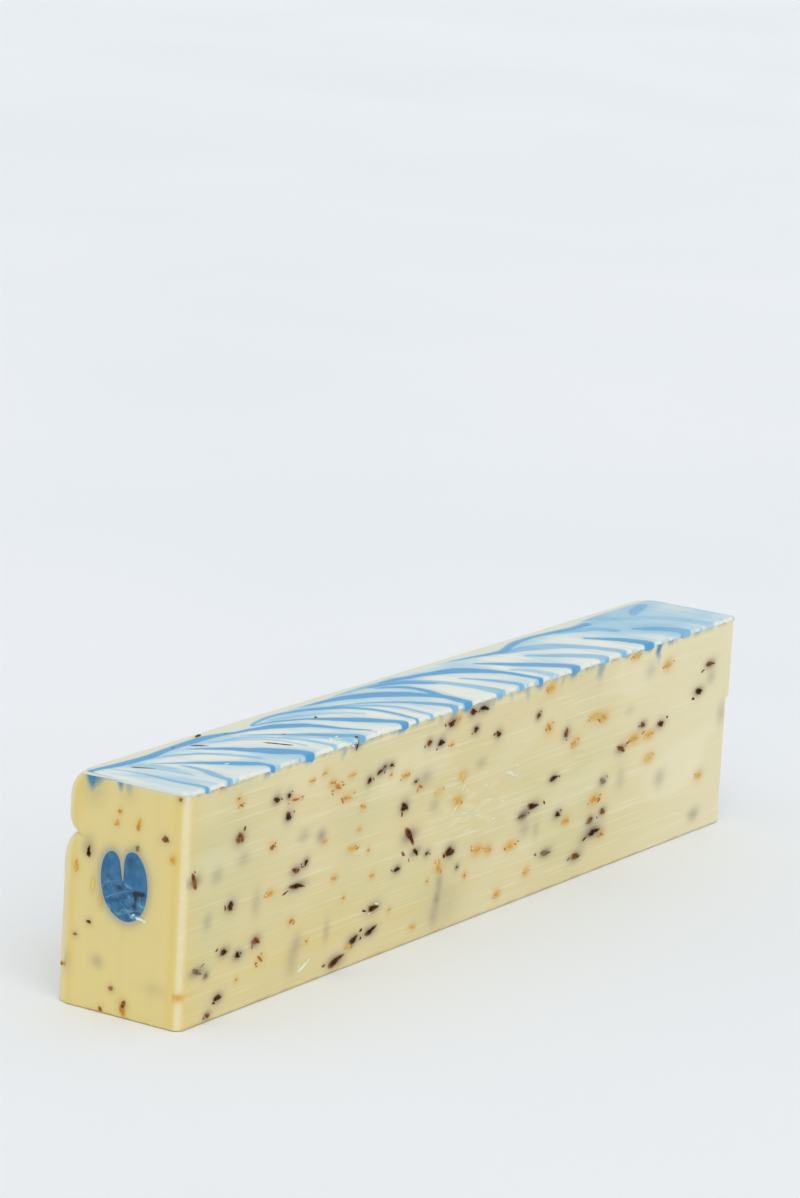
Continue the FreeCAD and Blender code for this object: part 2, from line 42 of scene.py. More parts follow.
# Camera: low and to the right of the cut end, far back with a long lens, and held slightly turned.
# It aims at the loaf's middle and is then moved left and up, so that the loaf sits in the frame's lower half.
azimuth = math.radians(32.9)
elevation = math.radians(13.0)
roll = math.radians(3.12)
back = np.array([
    math.sin(azimuth) * math.cos(elevation),
    -math.cos(azimuth) * math.cos(elevation),
    math.sin(elevation),
])
right = np.cross(-back, [0.0, 0.0, 1.0])
right = right / np.linalg.norm(right)
up = np.cross(right, -back)
aim = np.array([0.00146, 0.0, 0.038])
DISTANCE = 1.649
LEFTWARD = 0.00993
UPWARD = 0.06497
camera_place = aim + back * DISTANCE - right * LEFTWARD + up * UPWARD
turned_right = math.cos(roll) * right + math.sin(roll) * up
turned_up = math.cos(roll) * up - math.sin(roll) * right
camera_turn = np.eye(4)
camera_turn[:3, 0] = turned_right
camera_turn[:3, 1] = turned_up
camera_turn[:3, 2] = back
camera_turn[:3, 3] = camera_place
camera_data = bpy.data.cameras.new("camera")
camera_data.sensor_fit = "VERTICAL"
camera_data.sensor_height = 36
camera_data.lens = 148.35
camera_data.clip_end = 20
camera = bpy.data.objects.new("camera", camera_data)
scene.collection.objects.link(camera)
camera.matrix_world = Matrix(camera_turn.tolist())
scene.camera = camera

# Loaf: a long block of cream soap, cast in a lined box in two pours that meet in a groove on the left.
# The right side was planed flat and the near end cut, so both are smooth, with fine lines along the cut.
# One closed surface in millimetres: a section carried from the near end to the far one, and two end faces.
LENGTH = 332.0
HALF_LENGTH = LENGTH / 2
HALF_WIDTH = 25.0
HEIGHT = 76.0
TOP = 75.9
PLANED_X = 24.88
CUT_Y = -165.88
FOOT_RADIUS = 0.45
BROW_RADIUS = 1.2
WORN_RADIUS = 0.35
LEDGE_DEPTH = 2
LEDGE_LOW = 46.25
LEDGE_HIGH = 46.6
WAVES = 14
SHARP_ANGLE = math.radians(50)


def linear(red, green, blue):
    """A colour given from 0 to 255 on screen, as the linear values that a shader takes."""
    screen = np.array([red, green, blue]) / 255
    value = np.where(screen <= 0.04045, screen / 12.92, ((screen + 0.055) / 1.055) ** 2.4)
    return (*value.tolist(), 1.0)


def ripples(first, second, wave, seed, narrow=1.0):
    """Sum of fourteen sine waves of about one length in seeded directions, from about -1 to 1.

    A narrow above 1 stretches the waves along the first direction.
    """
    rng = np.random.default_rng(seed)
    total = np.zeros(np.broadcast(first, second).shape)
    turns = rng.uniform(0, np.pi, WAVES)
    phases = rng.uniform(0, 2 * np.pi, WAVES)
    shares = rng.uniform(0.6, 1.7, WAVES)
    for turn, phase, share in zip(turns, phases, shares):
        run = first * np.cos(turn) / narrow + second * np.sin(turn)
        total = total + np.sin(run * 2 * np.pi / (wave * share) + phase)
    return total / 5


def ease(value, low, high):
    """0 below low, 1 above high, and a smooth S between them: 3t squared less 2t cubed."""
    t = np.clip((value - low) / (high - low), 0, 1)
    return t * t * (3 - 2 * t)


def bell(offset, reach, second_offset=0.0, second_reach=1.0):
    """1 at the middle and falling off softly: e to the minus squares of each offset over its reach."""
    return np.exp(-(offset / reach) ** 2 - (second_offset / second_reach) ** 2)


def arc(radius, run):
    """Height of a circle over its middle at a run from it: the root of radius squared less run squared."""
    return np.sqrt(np.clip(radius**2 - run**2, 0, None))


def mesh_piece(name, points, faces):
    """An object at the origin from points in millimetres and rows of four corners.

    A row whose last two corners are the same is a triangle.
    """
    mesh = bpy.data.meshes.new(name)
    corners = [row[:3] if row[2] == row[3] else row for row in faces.tolist()]
    mesh.from_pydata((points * 0.001).tolist(), [], corners)
    mesh.polygons.foreach_set("use_smooth", np.ones(len(mesh.polygons), dtype=bool))
    mesh.set_sharp_from_angle(angle=SHARP_ANGLE)
    mesh.update()
    piece = bpy.data.objects.new(name, mesh)
    scene.collection.objects.link(piece)
    return piece


def points_of(piece):
    """The piece's points in millimetres, as rows of x, y and z."""
    flat = np.empty(len(piece.data.vertices) * 3, dtype=np.float32)
    piece.data.vertices.foreach_get("co", flat)
    return flat.reshape(-1, 3).astype(float) * 1000


def move_points(piece, points):
    """Give the piece new points, in millimetres."""
    piece.data.vertices.foreach_set("co", (points * 0.001).astype(np.float32).ravel())
    piece.data.update()


def stain(piece, name, amounts):
    """Store one number per point, which the piece's material reads by that name. Later stains add up."""
    attribute = piece.data.attributes.get(name)
    if attribute is None:
        attribute = piece.data.attributes.new(name, "FLOAT", "POINT")
    known = np.empty(len(amounts), dtype=np.float32)
    attribute.data.foreach_get("value", known)
    attribute.data.foreach_set("value", np.clip(known + amounts, 0, 1.5).astype(np.float32))


def left_outline(level):
    """x of the left side at a height.

    It is upright up to 45, an arc of radius 13.56 runs in to the groove at 55, one of radius 7.66 runs out
    to 61, and from 66.5 a quarter circle of radius 9.5 leads over to the top. A narrow crease, a bell curve
    of the height, deepens the groove where the second pour met the first.
    """
    shoulder_radius, lobe_radius, top_radius = 13.56, 7.657, 9.5
    groove_level, top_start = 55, 66.5
    shoulder = shoulder_radius - HALF_WIDTH - arc(shoulder_radius, np.clip(level - 45, 0, 10))
    lobe = lobe_radius - 23.5 - arc(lobe_radius, np.clip(61 - level, 0, 6))
    rounding = -14 - arc(top_radius, np.clip(level - top_start, 0, top_radius))
    upper = np.where(level < top_start, lobe, rounding)
    return np.where(level < groove_level, shoulder, upper) + bell(level - 54.9, 1.1)


def corner_flat(x, inward):
    """How far a flat of 2 at 45 degrees takes the upright edge back, and less towards the middle."""
    return np.clip(2 - inward, 0, 2) * np.clip((x - 5) / 18, 0, 1)


def corner_shift(x, inward):
    """How far a point of the section moves along x where the near end's upright edges are taken off.

    On the left by a quarter circle of radius 7.5, and on the right by a flat of 2 at 45 degrees.
    """
    radius = 7.5
    left = (radius - arc(radius, np.clip(radius - inward, 0, radius))) * np.clip((5 - x) / 25, 0, 1)
    return left - corner_flat(x, inward)


def border_numbers(across, tall):
    """Numbers of a section's grid: round the border from the lower left corner, then inside row by row."""
    numbers = np.empty((across + 1, tall + 1), dtype=int)
    numbers[:, 0] = np.arange(across + 1)
    numbers[across, 1:] = across + np.arange(1, tall + 1)
    numbers[:across, tall] = 2 * across + tall - np.arange(across)
    numbers[0, 1:tall] = 2 * (across + tall) - np.arange(1, tall)
    inside = np.arange((across - 1) * (tall - 1)).reshape(across - 1, tall - 1)
    numbers[1:-1, 1:-1] = inside + 2 * (across + tall)
    return numbers


def grid_faces(numbers):
    """Four corners for each cell of a grid of point numbers, anticlockwise."""
    cells = [numbers[:-1, :-1], numbers[1:, :-1], numbers[1:, 1:], numbers[:-1, 1:]]
    return np.stack(cells, axis=-1).reshape(-1, 4)


def loaf_surface(levels, across, stations):
    """Points and faces of the loaf: a section of four edges at each station, and a grid over each end.

    The inside of an end is the blend of base and crown, plus the blend of left and right, less the blend of
    the four corners. The far end's foot steps back below the ledge.
    """
    tall = len(levels) - 1
    foot = FOOT_RADIUS - arc(FOOT_RADIUS, np.clip(FOOT_RADIUS - levels, 0, FOOT_RADIUS))
    brow = BROW_RADIUS - arc(BROW_RADIUS, np.clip(levels - TOP + BROW_RADIUS, 0, BROW_RADIUS))
    left = np.stack([left_outline(levels * HEIGHT / TOP) + foot, levels], axis=-1)
    planed = np.stack([PLANED_X - foot - brow, levels], axis=-1)
    share = np.linspace(0, 1, across + 1)[:, None]
    base = left[0] * (1 - share) + planed[0] * share
    crown = left[-1] * (1 - share) + planed[-1] * share
    border = np.concatenate([base, planed[1:], crown[-2::-1], left[-2:0:-1]])

    along = np.linspace(0, 1, tall + 1)[None, :, None]
    over = share[:, None]
    corners = ((1 - over) * (1 - along) * left[0] + over * (1 - along) * planed[0]
               + (1 - over) * along * left[-1] + over * along * planed[-1])
    patch = (base[:, None] * (1 - along) + crown[:, None] * along
             + left[None] * (1 - over) + planed[None] * over - corners)
    inside = patch[1:-1, 1:-1].reshape(-1, 2)

    def at_station(section, inward):
        """A section at a distance in from the near end, drawn in by the worn edge of each end."""
        short = np.minimum(inward, LENGTH - inward)
        worn = WORN_RADIUS - arc(WORN_RADIUS, np.clip(WORN_RADIUS - short, 0, WORN_RADIUS))
        x = section[:, 0] * (1 - worn / HALF_WIDTH)
        middle = HEIGHT / 2
        z = middle + (section[:, 1] - middle) * (1 - worn / middle)
        x = x + corner_shift(x, inward)
        step = LEDGE_DEPTH * (1 - ease(z, LEDGE_LOW, LEDGE_HIGH)) * ease(inward, 318, LENGTH)
        y = CUT_Y + inward * (2 * -CUT_Y / LENGTH) - step
        return np.stack([x, y, z], axis=-1)

    rings = np.stack([at_station(border, inward) for inward in stations])
    near_inside = at_station(inside, 0.0)
    far_inside = at_station(inside, LENGTH)
    count = len(border)
    points = np.concatenate([rings.reshape(-1, 3), near_inside, far_inside])

    ring_numbers = np.arange(len(stations) * count).reshape(len(stations), count)
    ring_numbers = np.concatenate([ring_numbers, ring_numbers[:, :1]], axis=1)
    sides = grid_faces(ring_numbers)
    cap = border_numbers(across, tall)
    shift = len(stations) * count - count
    near_cap = np.where(cap < count, cap, cap + shift)
    far_shift = shift + len(inside)
    far_cap = np.where(cap < count, cap + shift, cap + far_shift)
    faces = np.concatenate([sides, grid_faces(near_cap), grid_faces(far_cap)[:, ::-1]])
    return points, faces


levels = np.concatenate([
    [0.0, 0.06, 0.18, 0.45],
    np.linspace(1.2, 45.2, 50),
    [45.75, LEDGE_LOW],
    np.linspace(LEDGE_HIGH, 61, 29),
    np.linspace(61.8, 66.4, 7),
    66.4 + 9.5 * np.sin(np.linspace(0.07, 0.5, 14) * np.pi),
])
stations = np.concatenate([
    [0.0, 0.05, 0.15, 0.35, 0.8, 1.3, 1.7, 2.0],
    np.linspace(2.8, 7.5, 6),
    np.linspace(8.6, 324, 278),
    np.linspace(325.5, 331.2, 4),
    [331.65, 331.85, 331.95, LENGTH],
])
CELLS_ACROSS = 42
loaf_points, loaf_faces = loaf_surface(levels, CELLS_ACROSS, stations)


def knife_lines(y, z):
    """Fine grooves that run along the planed side: bell curves over the height, stronger in places."""
    depth = np.zeros(y.shape)
    for number, (level, wide, deep) in enumerate([
        (67.5, 0.7, 0.05), (59.0, 0.6, 0.06), (40.0, 0.9, 0.05), (33.0, 0.6, 0.07),
        (21.0, 0.7, 0.05), (17.0, 0.6, 0.06), (12.0, 1.0, 0.08), (10.0, 0.5, 0.06),
    ]):
        here = 0.55 + 0.45 * ripples(y, y * 0, 90, 40 + number)
        depth = depth + deep * here * bell(z - level, wide)
    return depth


def sunk_border(along, x):
    """How far the top sank towards its left edge as it set: by 0.25, and towards the far end by 0.9 more."""
    return 0.9 * ease(along, 70, 300) * ease(-x, 6, 17) + 0.25 * ease(-x, 9, 17)


x, y, z = loaf_points.T
planed = ease(x, 24.2, 24.8)
cast = ease(-x, 13, 17.6)
crown = ease(z, 75.6, 75.85)
near = ease(-y, 165.5, 165.8)
far = ease(y, 163.4, 163.8)
wave = 0.05 * (1 + ripples(y, z, 60, 3, narrow=3)) + 0.025 * (1 + ripples(y, z, 9, 4, narrow=4))
loaf_points[:, 0] -= planed * (wave * 0.5 + knife_lines(y, z))
uneven = 0.2 * (1.6 + ripples(y, z, 55, 5)) + 0.05 * (1.6 + ripples(y, z, 7, 6))
loaf_points[:, 0] += cast * np.clip(uneven, 0.02, None)
loaf_points[:, 2] -= crown * np.clip(0.02 * (1 + ripples(y, x, 12, 7)), 0, None)
loaf_points[:, 2] -= sunk_border(y + HALF_LENGTH, x) * ease(z, 60, 74)
knife_drag = 0.025 * (1 + ripples(x, z, 30, 8)) + 0.015 * (1 + ripples(x, z * 0.2, 4, 9))
loaf_points[:, 1] += near * np.clip(knife_drag, 0, None)
loaf_points[:, 1] -= far * np.clip(0.12 * (1.4 + ripples(x, z, 24, 10)), 0, None)
loaf = mesh_piece("soap_body", loaf_points, loaf_faces)


class Finish:
    """A material with one soap shader, and the chains of nodes that lead to it.

    The glow is the light that passes under the skin: its share, how far it goes in metres, and how much of
    that way red, green and blue each go. A colour is three numbers from 0 to 255, or a node's socket.
    """

    def __init__(self, name, roughness, specular, glow=0.0, glow_scale=0.001, glow_radius=(1.0, 0.2, 0.1)):
        self.material = bpy.data.materials.new(name)
        self.material.use_nodes = True
        self.nodes = self.material.node_tree.nodes
        self.links = self.material.node_tree.links
        self.shader = self.nodes["Principled BSDF"]
        self.shader.inputs["Roughness"].default_value = roughness
        self.shader.inputs["Specular IOR Level"].default_value = specular
        if glow:
            self.shader.inputs["Subsurface Weight"].default_value = glow
            self.shader.inputs["Subsurface Radius"].default_value = glow_radius
            self.shader.inputs["Subsurface Scale"].default_value = glow_scale

    def node(self, kind, sockets, **settings):
        """A new node with its settings made, and each of its sockets linked or given its number."""
        node = self.nodes.new(kind)
        for setting, value in settings.items():
            setattr(node, setting, value)
        for name, value in sockets.items():
            if isinstance(value, bpy.types.NodeSocket):
                self.links.new(value, node.inputs[name])
            else:
                node.inputs[name].default_value = value
        return node

    def noise(self, scale, detail, stretch=(1, 1, 1)):
        """Cloudy noise on the piece's own coordinates, in waves per metre."""
        where = self.node("ShaderNodeTexCoord", {}).outputs["Object"]
        placed = self.node("ShaderNodeMapping", {"Vector": where, "Scale": stretch}).outputs["Vector"]
        sockets = {"Vector": placed, "Scale": scale, "Detail": detail}
        return self.node("ShaderNodeTexNoise", sockets).outputs["Fac"]

    def fade(self, value, low, high, most=1.0):
        """The value spread smoothly from low..high to 0..most, and level outside."""
        sockets = {"Value": value, "From Min": low, "From Max": high, "To Min": 0.0, "To Max": most}
        return self.node("ShaderNodeMapRange", sockets, interpolation_type="SMOOTHSTEP").outputs["Result"]

    def clouds(self, scale, detail, low, high, most=1.0, stretch=(1, 1, 1)):
        """Patches of noise: 0 where it is under low, and the most where it is over high."""
        return self.fade(self.noise(scale, detail, stretch), low, high, most)

    def stained(self, name):
        """The number per point that a piece keeps under this name."""
        return self.node("ShaderNodeAttribute", {}, attribute_name=name).outputs["Fac"]

    def blend(self, share, first, second):
        """The first colour with a share of the second one over it."""
        first, second = (each if isinstance(each, bpy.types.NodeSocket) else linear(*each)
                         for each in (first, second))
        sockets = {"Factor": share, "A": first, "B": second}
        return self.node("ShaderNodeMix", sockets, data_type="RGBA").outputs["Result"]

    def relief(self, height, strength, distance):
        """Fine relief from a height, in metres, on the shader's normal."""
        sockets = {"Height": height, "Strength": strength, "Distance": distance}
        self.links.new(self.node("ShaderNodeBump", sockets).outputs["Normal"], self.shader.inputs["Normal"])

    def lay_on(self, piece, colour):
        """Give the shader its colour and the piece this material."""
        self.links.new(colour, self.shader.inputs["Base Color"])
        piece.data.materials.append(self.material)


ALONG_LOAF = (1, 0.02, 1)
cream = Finish("cream_soap", 0.4, 0.4, glow=0.35, glow_scale=0.003, glow_radius=(1.0, 0.75, 0.4))
cloudy = cream.clouds(22, 3, 0.3, 0.7, stretch=(1, 0.35, 1))
colour = cream.blend(cloudy, (226, 213, 168), (216, 203, 149))
colour = cream.blend(cream.clouds(14, 2, 0.4, 0.65, 0.4), colour, (227, 210, 158))
planed_colour = colour = cream.blend(cream.clouds(18, 2, 0.52, 0.72, 0.6), colour, (211, 205, 153))
# Pale and darker lines along the planed side: painted highlight and painted shade of its fine knife lines.
for scale, detail, low, high, most, line_highlight_and_shade in [
    (420, 2, 0.5, 0.78, 0.35, (236, 228, 192)),
    (1300, 3, 0.55, 0.72, 0.35, (244, 238, 212)),
    (800, 2, 0.56, 0.76, 0.25, (208, 192, 134)),
]:
    drawn = cream.clouds(scale, detail, low, high, most, ALONG_LOAF)
    planed_colour = cream.blend(drawn, planed_colour, line_highlight_and_shade)
upright_lines = cream.clouds(200, 2, 0.4, 0.8, 0.4, (1, 1, 0.04))
cut_colour = cream.blend(upright_lines, (228, 210, 142), (223, 203, 130))
colour = cream.blend(cream.stained("planed_face"), cut_colour, planed_colour)
# Stains over the soap. The pale marks include painted highlights on the near corners, and the yellow tint
# includes painted glow at the edges and painted shade along the knife lines.
for name, stain_colour in [
    ("pale_border", (222, 224, 202)), ("pale_marks_and_highlight", (238, 229, 194)), ("yellow_tint_glow_and_shade", (226, 202, 112)),
    ("rust_stain", (216, 166, 72)), ("grey_depth", (132, 124, 108)), ("blue_bleed", (70, 134, 168)),
]:
    colour = cream.blend(cream.stained(name), colour, stain_colour)
cream.relief(cream.noise(900, 2, (1, 0.06, 1)), 0.14, 0.0003)
cream.lay_on(loaf, colour)

x, y, z = points_of(loaf).T
PLANED_FROM_X = 23.9
PLANED_FROM_Y = CUT_Y + 1.6
CUT_END_TO_Y = CUT_Y + 0.5
planed_side = (x > PLANED_FROM_X) & (y > PLANED_FROM_Y)
cut_end = y < CUT_END_TO_Y
along = y + HALF_LENGTH
down = HEIGHT - z
stain(loaf, "planed_face", np.where(x < 20, ease(along, 0.6, 9.0), ease(along, 0.0, 0.6)))
stain(loaf, "pale_border", 0.9 * ease(z, 69, 75) * ease(-x, 2, 8) * ease(along, 1, 8))
stain(loaf, "pale_border", 0.6 * cut_end * ease(z, 72.6, 75.4) * ease(x, -8, -2))
# Painted highlight on the 45 degree flat of the near right edge, and the planed side paler towards the far
# end.
chamfer_highlight = ease(x, 22.6, 23.2) * (1 - ease(along, 1.6, 2.6))
stain(loaf, "pale_marks_and_highlight", 0.5 * chamfer_highlight + 0.6 * planed_side * ease(along, 220, 320))
scuff_patches = ease(ripples(along, z, 3.5, 23, narrow=2.4), 0.0, 0.9)
scuffed = 0.5 * bell(along - 162, 20, z - 38, 10) * scuff_patches
light_patches = 0.25 * ease(ripples(along, z, 26, 24, narrow=3), 0.2, 0.9)
stain(loaf, "pale_marks_and_highlight", (scuffed + light_patches) * planed_side)
# Painted highlight on the rounded near left corner, fainter low down.
left_corner_highlight = ease(-x, 17.5, 21) * (1 - ease(along, 2, 12)) * (0.6 + 0.4 * ease(z, 20, 60))
stain(loaf, "pale_marks_and_highlight", 0.55 * left_corner_highlight)
# Painted glow, as of light passing through the soap, in bands near the cut end's right edge and its rounded
# left edge.
left_edge_glow = bell(x + 17.6, 1.3) * (1 - ease(z, 50, 58)) + 0.8 * bell(x + 17.0, 3.2) * ease(z, 56, 62)
stain(loaf, "yellow_tint_glow_and_shade", 0.6 * cut_end * (bell(x - 21.0, 1.8) + left_edge_glow))
# On the planed side: painted glow near its right front edge, a darker yellow low down on its near half, and
# painted shade just above each knife line.
edge_glow_and_low_tint = 0.3 * (1 - ease(along, 2, 13)) + 0.2 * ease(38 - z, 0, 30) * (1 - ease(along, 70, 170))
knife_line_shade = 4.0 * knife_lines(y, z - 0.7) * (1 - ease(along, 150, 230))
stain(loaf, "yellow_tint_glow_and_shade", (edge_glow_and_low_tint + knife_line_shade) * planed_side)
base_rim = 0.5 * (1 - ease(z, 0.3, 1.0)) * ease(ripples(along, x, 9, 22), -0.4, 0.8)
stain(loaf, "rust_stain", base_rim * (planed_side | cut_end))
corner_fleck = 0.9 * bell(z - 10.6, 1.5, along - 0.9, 1.5)
fleck_trail = 0.25 * bell(z - 11.0, 0.8) * (1 - ease(along, 3, 14))
stain(loaf, "rust_stain", (corner_fleck + fleck_trail) * (x > 21.5))


def marks(first, second, rows):
    """Sum of bells: each row is a place, a level, the reach along each of the two, and a strength."""
    total = np.zeros(len(first))
    for place, level, wide, tall, strength in rows:
        total += strength * bell(first - place, wide, second - level, tall)
    return total


# Blurred marks: buds and petals that lie under the skin show only as soft grey patches.
# Place along the loaf, distance below the top, reach along and down, and strength.
DEEP_GREYS = [
    (17, 29.5, 3, 2.6, 0.4), (31, 27, 3.2, 2.4, 0.35), (63.5, 26.5, 3.4, 2.2, 0.4),
    (73.5, 28.5, 2.6, 2.2, 0.7), (13, 43.5, 2.4, 2.6, 0.4), (39, 43, 2.6, 4.4, 0.35),
    (62.5, 61.5, 3, 3.2, 0.4), (60, 67, 3.4, 4.4, 0.35), (79, 61, 1.8, 3.6, 0.4), (133, 21, 4, 2.6, 0.45),
    (139, 31.5, 3, 2.2, 0.35), (166.5, 22.5, 3.4, 2, 0.35), (144.5, 59, 2, 3.4, 0.5),
    (143.6, 64.5, 1.8, 2.2, 0.5), (142, 70, 2.8, 3.6, 0.35), (148, 66, 11, 8, 0.22),
    (196.5, 51.5, 4, 2.6, 0.4), (204, 53, 2.2, 3, 0.3), (262, 22, 3.2, 2, 0.2), (275, 10, 4.4, 3.4, 0.3),
    (318, 20, 3.4, 2.6, 0.4), (285.5, 51, 4, 3.4, 0.4), (327, 35, 3, 4, 0.4), (311.5, 69.5, 4, 2.4, 0.55),
    (258.5, 46, 3.4, 4, 0.3), (235, 63.5, 3.4, 2.6, 0.35), (195, 46.5, 3, 2, 0.4), (242, 61, 6, 3, 0.35),
    (31, 58, 3, 2, 0.2),
]
stain(loaf, "grey_depth", marks(along, down, DEEP_GREYS) * planed_side)
# On the cut end: x, height, reach along each of them, and strength.
END_GREYS = [
    (-7, 16, 2.4, 2.2, 0.4), (15, 11.5, 4.6, 2.4, 0.2), (-20, 14, 2.6, 4, 0.3),
    (-12, 52.5, 2.4, 3.4, 0.4), (0.5, 42, 11.5, 14, 0.15),
]
stain(loaf, "grey_depth", marks(x, z, END_GREYS) * cut_end)

# Blue drips: where the blue of the top pour sank into the cream, its cut shows as soft teeth down the side.
# Place along the loaf, width, depth below the top, and strength.
SIDE_DRIPS = [
    (6, 3, 2.2, 0.5), (13, 3.4, 2.4, 0.6), (22, 3.4, 2, 0.7), (32, 2.4, 1.6, 0.5), (42, 5, 3.4, 0.8),
    (48, 2.4, 1.8, 0.5), (64, 7.5, 3.2, 0.9), (73, 3, 2.2, 0.6), (84, 4, 6, 0.5), (92, 5, 3.4, 0.8),
    (100, 3, 2.4, 0.7), (108, 2.4, 1.8, 0.5), (117, 7, 3.6, 0.9), (126, 3, 2.6, 0.7), (134, 3, 2, 0.6),
    (148, 4.4, 6.4, 0.5), (140, 3.4, 4.6, 0.35), (172, 3, 5.6, 0.35), (156, 7, 3.6, 0.9),
    (166, 3, 2.2, 0.5), (176, 4.4, 3, 0.6), (190, 3.4, 2.6, 0.7), (193.5, 3.4, 6.6, 0.5),
    (183, 3, 5, 0.35), (215.5, 3, 5.6, 0.4), (201, 6, 4, 0.9), (211, 3.4, 2.6, 0.5), (222, 6, 4, 0.9),
    (232, 4, 3, 0.6), (240.5, 6, 8.6, 0.6), (249, 4, 2.6, 0.6), (258, 6, 3.2, 0.7), (266, 4, 2.4, 0.6),
    (272.5, 6, 3.4, 0.9), (279.5, 4.4, 8.2, 1), (288, 6, 3.4, 0.8), (297, 5, 2.6, 0.6), (306, 6, 3, 0.7),
    (315, 5, 2.4, 0.6), (325, 6, 2.4, 0.5),
]
# On the cut end: x, width, depth below the top, and strength.
END_DRIPS = [
    (-12, 5, 7, 1.2), (-10.4, 7.4, 5, 0.8), (-1, 2.8, 4.8, 1), (2.2, 3.4, 6, 0.4), (8, 3, 2, 0.2),
]
blue = np.zeros(len(x))
for place, wide, deep, strength in SIDE_DRIPS:
    narrowed = wide * 0.5 * np.clip(1.05 - 0.5 * down / (deep + 1), 0.3, 1)
    across = np.abs(along - place + 0.5 * np.sin(down * 1.1 + place)) / narrowed
    drip = strength * (1 - ease(across, 0.35, 1.35)) * (1 - ease(down, 0.4 * deep, deep + 0.8))
    blue = np.maximum(blue, drip)
rim = 0.5 * (1 - ease(down, 1.0, 3.8)) * ease(ripples(along, down * 0.4, 7, 21), -0.4, 0.8)
stain(loaf, "blue_bleed", planed_side * np.maximum(blue, rim))
blue = np.zeros(len(x))
for place, wide, deep, strength in END_DRIPS:
    narrowed = wide * 0.5 * np.clip(1.05 - 0.85 * down / deep, 0.1, 1)
    across = np.abs(x - place - 0.12 * down) / narrowed
    drip = strength * (1 - ease(across, 0.3, 1.5)) * (1 - ease(down, 0.4 * deep, deep + 0.6))
    blue = np.maximum(blue, drip)
rim = 0.35 * (1 - ease(down, 0.3, 1.0)) * ease(x, -14, -11)
stain(loaf, "blue_bleed", cut_end * np.maximum(blue, rim))
sunk = bell(x + 10.5, 4.6) * (1 - ease(down, 5, 15)) + 0.6 * bell(x - 2, 3.6) * (1 - ease(down, 4, 11))
stain(loaf, "grey_depth", 0.26 * sunk * cut_end)
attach(loaf, "root")
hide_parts("soap_loaf")

# Heart: a rod of blue soap that was laid in the first pour and runs through the loaf.
# The knife dragged crumbs over its cut face: pale scratches, a darker torn patch and one curl.
HEART_OUTLINE = [
    (2.1, 43.7), (1.3, 45.6), (0.9, 47.8), (0.5, 50), (-0.7, 51.8), (-2.5, 52.4), (-4.3, 51.5),
    (-5.7, 49.2), (-6.4, 46), (-6.4, 42.6), (-5.8, 39.2), (-4.5, 36), (-2.3, 33.3), (0.5, 31.5),
    (3.4, 30.8), (6.3, 31.4), (8.7, 33.2), (10.4, 36.1), (11.3, 39.6), (11.5, 43.2), (10.9, 47),
    (9.5, 50.4), (7.4, 52.8), (5, 53.4), (3.2, 52.2), (2.4, 49.8), (2.4, 47.2), (2.6, 45.2),
]


def cubics(before, start, end, after, steps):
    """Points on a cubic from each start to its end, whose slopes are half the step between neighbours."""
    t = np.linspace(0, 1, steps, endpoint=False)[None, :, None]
    first, second, third, last = (side[:, None] for side in (before, start, end, after))
    curve = 0.5 * (2 * second + (third - first) * t + (2 * first - 5 * second + 4 * third - last) * t**2
                   + (3 * second - first - 3 * third + last) * t**3)
    return curve.reshape(-1, curve.shape[-1])


def smooth_loop(places, steps):
    """A closed curve through the places, of cubics with that many points each."""
    knots = np.array(places, dtype=float)
    return cubics(np.roll(knots, 1, 0), knots, np.roll(knots, -1, 0), np.roll(knots, -2, 0), steps)


def closed_skin(rows, poles, turned=False):
    """Points and faces of rings one after another, closed by a fan from each end ring to its pole.

    A skin whose rings run the other way round is turned, so that its faces point outwards too.
    """
    count = rows.shape[1]
    points = np.concatenate([rows.reshape(-1, 3), poles])
    numbers = np.arange(rows.shape[0] * count).reshape(-1, count)
    numbers = np.concatenate([numbers, numbers[:, :1]], axis=1)
    pole = np.full(count, len(points) - 2)
    walls = grid_faces(numbers)
    near_fan = np.stack([numbers[0, 1:], numbers[0, :-1], pole, pole], axis=-1)
    far_fan = np.stack([numbers[-1, :-1], numbers[-1, 1:], pole + 1, pole + 1], axis=-1)
    if turned:
        walls = walls[:, ::-1]
        near_fan = near_fan[:, [1, 0, 2, 3]]
        far_fan = far_fan[:, [1, 0, 2, 3]]
    return points, np.concatenate([walls, near_fan, far_fan])


HEART_SHIFT = 0.5
heart_edge = smooth_loop(HEART_OUTLINE, 8) - [HEART_SHIFT, 0]
HEART_MIDDLE = np.array([1.9, 40.6])
HEART_NEAR_Y = -165.93
HEART_FAR_Y = 165.9
rings = np.concatenate([np.linspace(0.03, 0.96, 44), [0.985, 1.0]])
near_rings = HEART_MIDDLE + rings[:, None, None] * (heart_edge - HEART_MIDDLE)
near_y = np.full(near_rings.shape[:2], HEART_NEAR_Y)
near_y[-1] += 0.2
near_y[-2] += 0.04
hx, hz = near_rings[..., 0], near_rings[..., 1]


def scraped(x, z):
    """Thin crossing scratches in the lower half: where the sum of slanting ripples passes through zero."""
    first = bell(ripples(x + 0.3 * z, z - 0.5 * x, 6, 33, narrow=2.2), 0.07)
    second = bell(ripples(x - 0.4 * z, z + 0.7 * x, 7, 35, narrow=2.2), 0.06)
    return np.clip(first + 0.7 * second, 0, 1) * (1 - ease(z, 40.5, 44.5))


